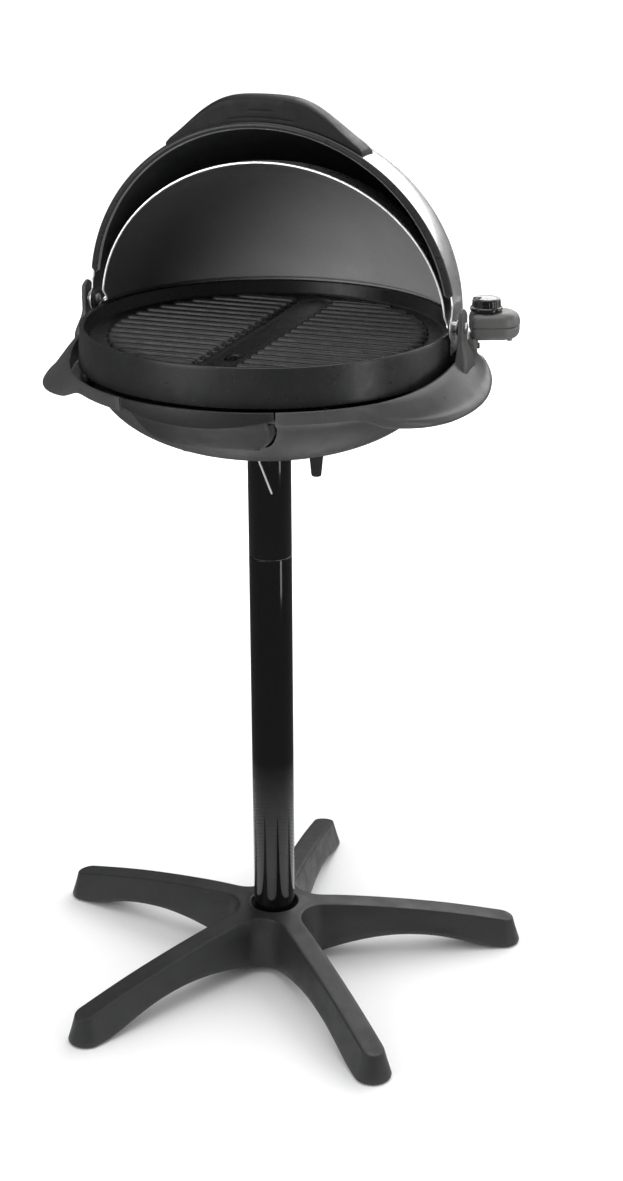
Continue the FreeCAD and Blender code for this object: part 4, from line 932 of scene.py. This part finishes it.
def handle():
    b = Build()
    top_f = crom([0, 16, 32, 44, 54, 63, 72, 80, 88, 96, 104, 111, 117, 121.5], [256.5, 256.2, 255.0, 252.8, 249.5, 245.1, 239.5, 233.6, 227.0, 220.1, 213.4, 207.8, 203.2, 198.6])
    xs = np.concatenate([-np.linspace(0, 121.5, 76)[::-1], np.linspace(0, 121.5, 76)[1:]])
    heights = [0.0, 1.2, 3.0, 5.0, 6.6, 7.1, 7.6, 8.1, 8.6, 9.1, 11.0, 13.0, 14.6, 15.1, 15.6, 16.1, 16.6, 17.1, 19.0, 21.5]
    rings = []
    for x in xs:
        ax = abs(x)
        top = float(top_f(ax))
        base0 = HB * math.sqrt(1 - (x / HA)**2)

        def base(e3):
            return math.sqrt(max(1.0, base0**2 - e3 * e3)) - 0.6
        H = top - base(0.5)
        k = min(1.0, max(0.05, (H - 3.0) / 25.0))
        lean = 0.06
        sec = []
        for h in heights:
            g = 0.0
            for hc, hl in ((7.85, 42.0), (15.85, 18.0)):
                g += 0.9 * math.exp(-((h - hc) / 0.55)**2) * float(sm((hl - ax) / 6.0))
            sec.append((base(0.5) + 0.2 + h * k, 0.5 + lean * h * k + g))
        f = max(0.42, min(1.0, H / 26.0))
        e = 0.5 + lean * 22 * k
        for q in (10, 25, 40, 55, 70, 85):
            s, c = math.sin(math.radians(q)), math.cos(math.radians(q))
            sec.append((top - 6.0 * f * (1 - s), e + 6.0 * f * (1 - c)))
        sec += [(top, e + 9 * f + 1), (top - 0.15, e + 13 * f + 1), (top - 0.8 * f, e + 19 * f + 1), (top - 2.4 * f, 26.0), (top - 5.0 * f, 30.5), (top - 9.5 * f, 35.0), (top - 15.0 * f, 38.4)]
        eb = 40.5
        sec += [(max(base(eb) + 0.3, min(top - 19 * f, base(eb) + 3.0)), 40.0), (base(eb) - 0.2, eb)]
        sec += [(base(26.0) - 0.3, 26.0), (base(12.0) - 0.3, 12.0)]
        rings.append([at_hood(x, p, q) for p, q in sec])
    R = np.array(rings)
    b.grid(R, cv=True)
    b.fan(R[0])
    b.fan(R[-1])
    b.done("hood_grip", M["handle"], "hood", "hood_handle", sharp=60)


handle()


# ------------------------------------------------------------------------------------------------ pivots
def pivots():
    b = Build()
    for s in (1, -1):
        def turned(prof, seg=40, mat=0):
            G = []
            for q in np.linspace(0, 360, seg, endpoint=False):
                G.append([hood_pt(s * x, r, q) for r, x in prof])
            b.grid(np.array(G), cu=True, mat=mat)
        # domed inner head, shank, outer domed head with a slot-free smooth cap
        turned(fillet([(0.01, 223.4), (4.0, 223.7), (7.0, 225.2), (7.0, 227.6), (4.0, 227.6), (4.0, 244.1), (6.6, 244.1), (6.6, 245.4), (4.2, 246.5), (0.01, 246.9)],
                      [0, 2, 0.8, 0.4, 0.3, 0.3, 0.4, 1.0, 2, 0], 4))
        # spring washer between the moving hood and the ear
        turned(fillet([(4.4, 234.9), (9.4, 234.9), (9.4, 235.9), (4.4, 235.9)], 0.25, 2, True).tolist() + [(4.4, 234.95)])
    b.done("pivot_pin_set", M["steel"], "head", "pivot_pins")


pivots()


# ------------------------------------------------------------------------------------------------ control
CA = math.radians(21.0)
CR = np.array([[math.cos(CA), -math.sin(CA)], [math.sin(CA), math.cos(CA)]])


def ctl(P):
    P = np.asarray(P, float).reshape(-1, 3)
    return np.column_stack([P[:, :2] @ CR.T, P[:, 2] + ZR])


def capsule(inset, z, x0=243.0, x1=303.0, hw=25.0):
    w = hw - inset
    a, e = x0 + inset, x1 - inset
    rc = max(2.0, 6.0 - 0.6 * inset)
    pts = []
    for q in np.linspace(-90, 90, 33):
        pts.append((e - w + w * math.cos(math.radians(q)), w * math.sin(math.radians(q))))
    for x in np.linspace(e - w, a + rc, 6)[1:-1]:
        pts.append((x, w))
    for q in np.linspace(90, 180, 8):
        pts.append((a + rc + rc * math.cos(math.radians(q)), w - rc + rc * math.sin(math.radians(q))))
    for y in np.linspace(w - rc, -w + rc, 10)[1:-1]:
        pts.append((a, y))
    for q in np.linspace(180, 270, 8):
        pts.append((a + rc + rc * math.cos(math.radians(q)), -w + rc + rc * math.sin(math.radians(q))))
    for x in np.linspace(a + rc, e - w, 6)[1:-1]:
        pts.append((x, -w))
    return ctl([(x, y, z) for x, y in pts])


def control():
    b = Build()
    lev = [(2.6, -7.2), (0.9, -7.3), (0.35, -6.9), (0.05, -6.2), (0.0, -4.6)]
    lev += [(11.0 * (1 - math.cos(math.radians(q))), -3.4 + 12.4 * math.sin(math.radians(q))) for q in (8, 18, 28, 38, 48, 58, 68, 78, 90)]
    lev += [(13.0, 9.0)]
    b.grid(np.array([capsule(i, z) for i, z in lev]), cv=True)
    b.fan(capsule(13.0, 9.0), centre=ctl([(270.0, 0, 9.0)])[0])
    b.fan(capsule(2.6, -7.2))
    # small raised index marks round the knob
    for k in range(9):
        q = math.radians(180 + 40 - 32.5 * k)
        d = np.array([math.cos(q), math.sin(q)])
        n = np.array([-d[1], d[0]])
        rr = []
        for (u, w, h) in ((20.2, 0.55, 8.9), (20.2, 0.4, 9.35), (22.6, 0.4, 9.35), (22.6, 0.55, 8.9)):
            p, m_ = np.array([262.0, 0]) + d * u + n * w, np.array([262.0, 0]) + d * u - n * w
            rr.append([(p[0], p[1], h), (m_[0], m_[1], h)])
        if all(abs(p[1]) < 17 and 252 < p[0] < 289 for row in rr for p in row):
            b.grid(np.array([ctl(r) for r in rr]))
    b.done("control_upper", M["control"], "control", "control_cover", sharp=45)

    b = Build()
    lev = [(12.0, -23.5), (10.0, -23.5)] + [(0.3 + 9.5 * (1 - math.sin(math.radians(q))), -13.5 - 10.0 * math.cos(math.radians(q))) for q in (12, 25, 38, 51, 64, 77, 90)]
    lev += [(0.1, -9.5), (0.35, -8.2), (0.9, -7.7), (2.6, -7.6)]
    b.grid(np.array([capsule(i, z) for i, z in lev]), cv=True)
    b.fan(capsule(12.0, -23.5))
    b.fan(capsule(2.6, -7.6))
    neck = fillet([(232.0, -20.0), (251.0, -20.0), (251.0, 20.0), (232.0, 20.0)], [1.5, 6, 6, 1.5], 5, True)
    lev = [(1.6, -42.0), (0.5, -41.5), (0.0, -40.2), (0.0, -30.0), (0.0, -21.0)]
    c = np.array([241.5, 0.0])
    rings = []
    for i, z in lev:
        q = neck - c
        q = q * np.array([(9.5 - i) / 9.5, (20.0 - i) / 20.0]) + c
        rings.append(ctl(np.column_stack([q, np.full(len(q), z)])))
    b.grid(np.array(rings), cv=True)
    b.fan(rings[0])
    b.fan(rings[-1])
    b.done("control_lower", M["control"], "control", "control_base", sharp=45)

    b = Build()
    th = np.linspace(0, 2 * math.pi, 216, endpoint=False)
    fl = np.clip(np.cos(18 * th), 0, 1)**0.7
    rows = []
    spec = [(18.4, 9.5, 0), (19.2, 9.8, 0), (19.5, 10.6, 0), (19.4, 13.0, 0), (19.0, 13.9, 0), (18.1, 14.4, 0), (17.6, 14.9, 0.2), (17.4, 15.6, 0.9), (17.2, 18.5, 1.0), (17.0, 21.0, 1.0), (16.8, 22.4, 0.8),
            (16.4, 23.5, 0.35), (15.6, 24.4, 0.05), (14.6, 24.85, 0), (13.6, 24.95, 0), (12.9, 24.7, 0), (12.3, 24.6, 0), (6.0, 24.9, 0), (1.0, 25.0, 0)]
    for r, z, f in spec:
        rr = r - 0.35 * f * fl
        rows.append(ctl(np.column_stack([262.0 + rr * np.cos(th), rr * np.sin(th), np.full_like(th, z)])))
    b.grid(np.array(rows), cv=True)
    b.fan(rows[-1])
    b.fan(rows[0])
    # raised pointer
    pr = fillet([(262.0 - 15.2, -1.0), (262.0 - 6.0, -1.5), (262.0 - 6.0, 1.5), (262.0 - 15.2, 1.0)], 0.6, 4, True)
    b.grid(np.array([ctl(np.column_stack([(pr - pr.mean(0)) * k + pr.mean(0), np.full(len(pr), z)])) for k, z in ((1.0, 24.3), (1.0, 25.3), (0.9, 25.6))]), cv=True)
    b.fan(ctl(np.column_stack([(pr - pr.mean(0)) * 0.9 + pr.mean(0), np.full(len(pr), 25.6)])))
    b.done("control_dial", M["knob"], "knob", "control_knob", sharp=50)


control()


# ------------------------------------------------------------------------------------------------ finish of the CAD nodes that stay
STAY = {"base_glides": "rubber", "post_joiner": "steel", "post_plug": "pan", "hub_bolt": "steel", "hub_washer": "steel", "post_socket": "collar", "socket_screws": "steel", "collar_screws": "rim",
        "plate_spacers": "ceramic", "heat_reflector": "reflector", "heating_element": "element", "element_clips": "steel", "tray_rails": "steel", "hood_brackets": "collar",
        "handle_screws": "steel", "pivot_bushes": "steel", "control_screws": "steel", "probe_rod": "steel", "contact_sleeves": "brass", "cord_gland": "rubber", "knob_shaft": "steel"}
for name, key in STAY.items():
    me = NODES[name].data
    me.materials.clear()
    me.materials.append(M[key])
    me.shade_smooth()
    me.set_sharp_from_angle(angle=math.radians(32))


# ------------------------------------------------------------------------------------------------ stage, light, camera
def stage_material():
    m = bpy.data.materials.new("stage_paper")
    m.use_nodes = True
    nt = m.node_tree
    bs = nt.nodes["Principled BSDF"]
    co = nt.nodes.new("ShaderNodeTexCoord").outputs["Object"]
    nt.links.new(ramp_mix(nt, noise(nt, co, 3.0, 3.0), (0.86, 0.86, 0.865), (0.88, 0.88, 0.885)), bs.inputs["Base Color"])
    bs.inputs["Roughness"].default_value = 0.9
    ln = nt.nodes.new("ShaderNodeVectorMath")
    ln.operation = "LENGTH"
    nt.links.new(co, ln.inputs[0])
    nt.links.new(map_range(nt, ln.outputs["Value"], 0.6, 2.0, 0.0, 0.50), bs.inputs["Emission Strength"])
    bs.inputs["Emission Color"].default_value = (1.0, 1.0, 1.0, 1.0)
    bs.inputs["Specular IOR Level"].default_value = 0.1
    return m


PAPER = stage_material()


def rings(name, spans, n=192):
    """Flat white rings on the floor plane."""
    me = bpy.data.meshes.new(name)
    v, f = [], []
    for r0, r1 in spans:
        i = len(v)
        for k in range(n):
            a = 2 * math.pi * k / n
            v += [(r0 * math.cos(a), r0 * math.sin(a), 0.0), (r1 * math.cos(a), r1 * math.sin(a), 0.0)]
        for k in range(n):
            j = (k + 1) % n
            f.append((i + 2 * k, i + 2 * k + 1, i + 2 * j + 1, i + 2 * j))
    me.from_pydata(v, [], f)
    me.materials.append(PAPER)
    o = bpy.data.objects.new(name, me)
    bpy.context.scene.collection.objects.link(o)
    return o


# the paper near the stand shows in the gloss of the post and fades out further away
seen, unseen, r = [(0.0005, 0.20)], [], 0.20
while r < 0.60:
    k = 1 - (r - 0.20) / 0.41
    seen.append((r, r + 0.012 * k))
    unseen.append((r + 0.012 * k, r + 0.012))
    r += 0.012
near, far = rings("floor_near", seen), rings("floor_far", unseen)
far.visible_glossy = False


wide = rings("floor_wide", [(r, 40.0)])
wide.visible_glossy = False

scene = bpy.context.scene
world = bpy.data.worlds.new("studio")
scene.world = world
world.use_nodes = True
bg = world.node_tree.nodes["Background"]
bg.inputs["Color"].default_value = (1.0, 1.0, 1.0, 1.0)
bg.inputs["Strength"].default_value = 0.10


def area(name, loc, target, size, radiance, spread=180):
    li = bpy.data.lights.new(name, "AREA")
    li.shape = "RECTANGLE"
    li.size, li.size_y = size
    li.energy = radiance * math.pi * size[0] * size[1]
    li.spread = math.radians(spread)
    o = bpy.data.objects.new(name, li)
    o.location = loc
    o.rotation_mode = "QUATERNION"
    o.rotation_quaternion = (Vector(target) - Vector(loc)).to_track_quat("-Z", "Y")
    scene.collection.objects.link(o)
    return o


area("soft_top", (0.1, -0.2, 3.0), (0.0, 0.0, 0.8), (2.2, 1.8), 2.2)
area("soft_key_left", (-1.35, -2.35, 1.5), (0.0, 0.1, 1.0), (1.6, 1.6), 2.7)
area("strip_right", (2.1, -0.5, 1.0), (0.0, 0.0, 0.75), (0.35, 1.9), 3.2)
area("soft_back", (0.6, 3.0, 2.2), (0.0, 0.0, 0.5), (3.4, 1.8), 2.4)
area("soft_back_high", (0.7, 2.1, 3.3), (0.1, 0.0, 0.8), (2.6, 1.5), 2.4)
area("soft_back_right", (2.6, 1.5, 1.4), (0.1, 0.1, 1.0), (1.5, 2.0), 1.3)

# light that only the inside of the fixed half dome takes: it shapes the soft gradient from dark left to light right
hood_light = area("dome_fill", (-0.95, -1.65, 1.5), (0.05, 0.15, 0.93), (0.9, 0.9), 30.0)
dome_only = bpy.data.collections.new("dome_only")
dome_only.objects.link(DOME)
hood_light.light_linking.receiver_collection = dome_only

# light that only the floor takes, so that it reads as white paper
fill = bpy.data.lights.new("floor_wash", "SUN")
fill.energy = 2.0
fill.angle = math.radians(140)
fill.use_shadow = True
fo = bpy.data.objects.new("floor_wash", fill)
scene.collection.objects.link(fo)
col = bpy.data.collections.new("floor_only")
for o in (near, far, wide):
    col.objects.link(o)
fo.light_linking.receiver_collection = col

# camera: where the photograph was taken from, solved from the circles and edges of the object
az, D, HCAM = math.radians(21.3), 2.3611, 1.4436
pan, pitch, roll = 0.0235, 0.3711, -0.0033
fw = np.array([-math.sin(az), math.cos(az), 0.0])
rt = np.array([math.cos(az), math.sin(az), 0.0])
up = np.array([0.0, 0.0, 1.0])
f2, r2 = fw * math.cos(pan) + rt * math.sin(pan), rt * math.cos(pan) - fw * math.sin(pan)
f3, u3 = f2 * math.cos(pitch) - up * math.sin(pitch), up * math.cos(pitch) + f2 * math.sin(pitch)
r4, u4 = r2 * math.cos(roll) + u3 * math.sin(roll), u3 * math.cos(roll) - r2 * math.sin(roll)
cam = bpy.data.cameras.new("photo_camera")
cam.sensor_width = 36.0
cam.lens = 2009.1 / 1181.0 * 36.0
cam.shift_x, cam.shift_y = -3.4 / 1181.0, 0.45 / 1181.0
cam.clip_start, cam.clip_end = 0.05, 100.0
co = bpy.data.objects.new("photo_camera", cam)
co.matrix_world = Matrix(((r4[0], u4[0], -f3[0], math.sin(az) * D), (r4[1], u4[1], -f3[1], -math.cos(az) * D), (r4[2], u4[2], -f3[2], HCAM), (0, 0, 0, 1)))
scene.collection.objects.link(co)
scene.camera = co
scene.view_settings.view_transform = "Standard"
scene.view_settings.look = "None"
scene.view_settings.exposure = 0.0

bpy.context.view_layer.update()
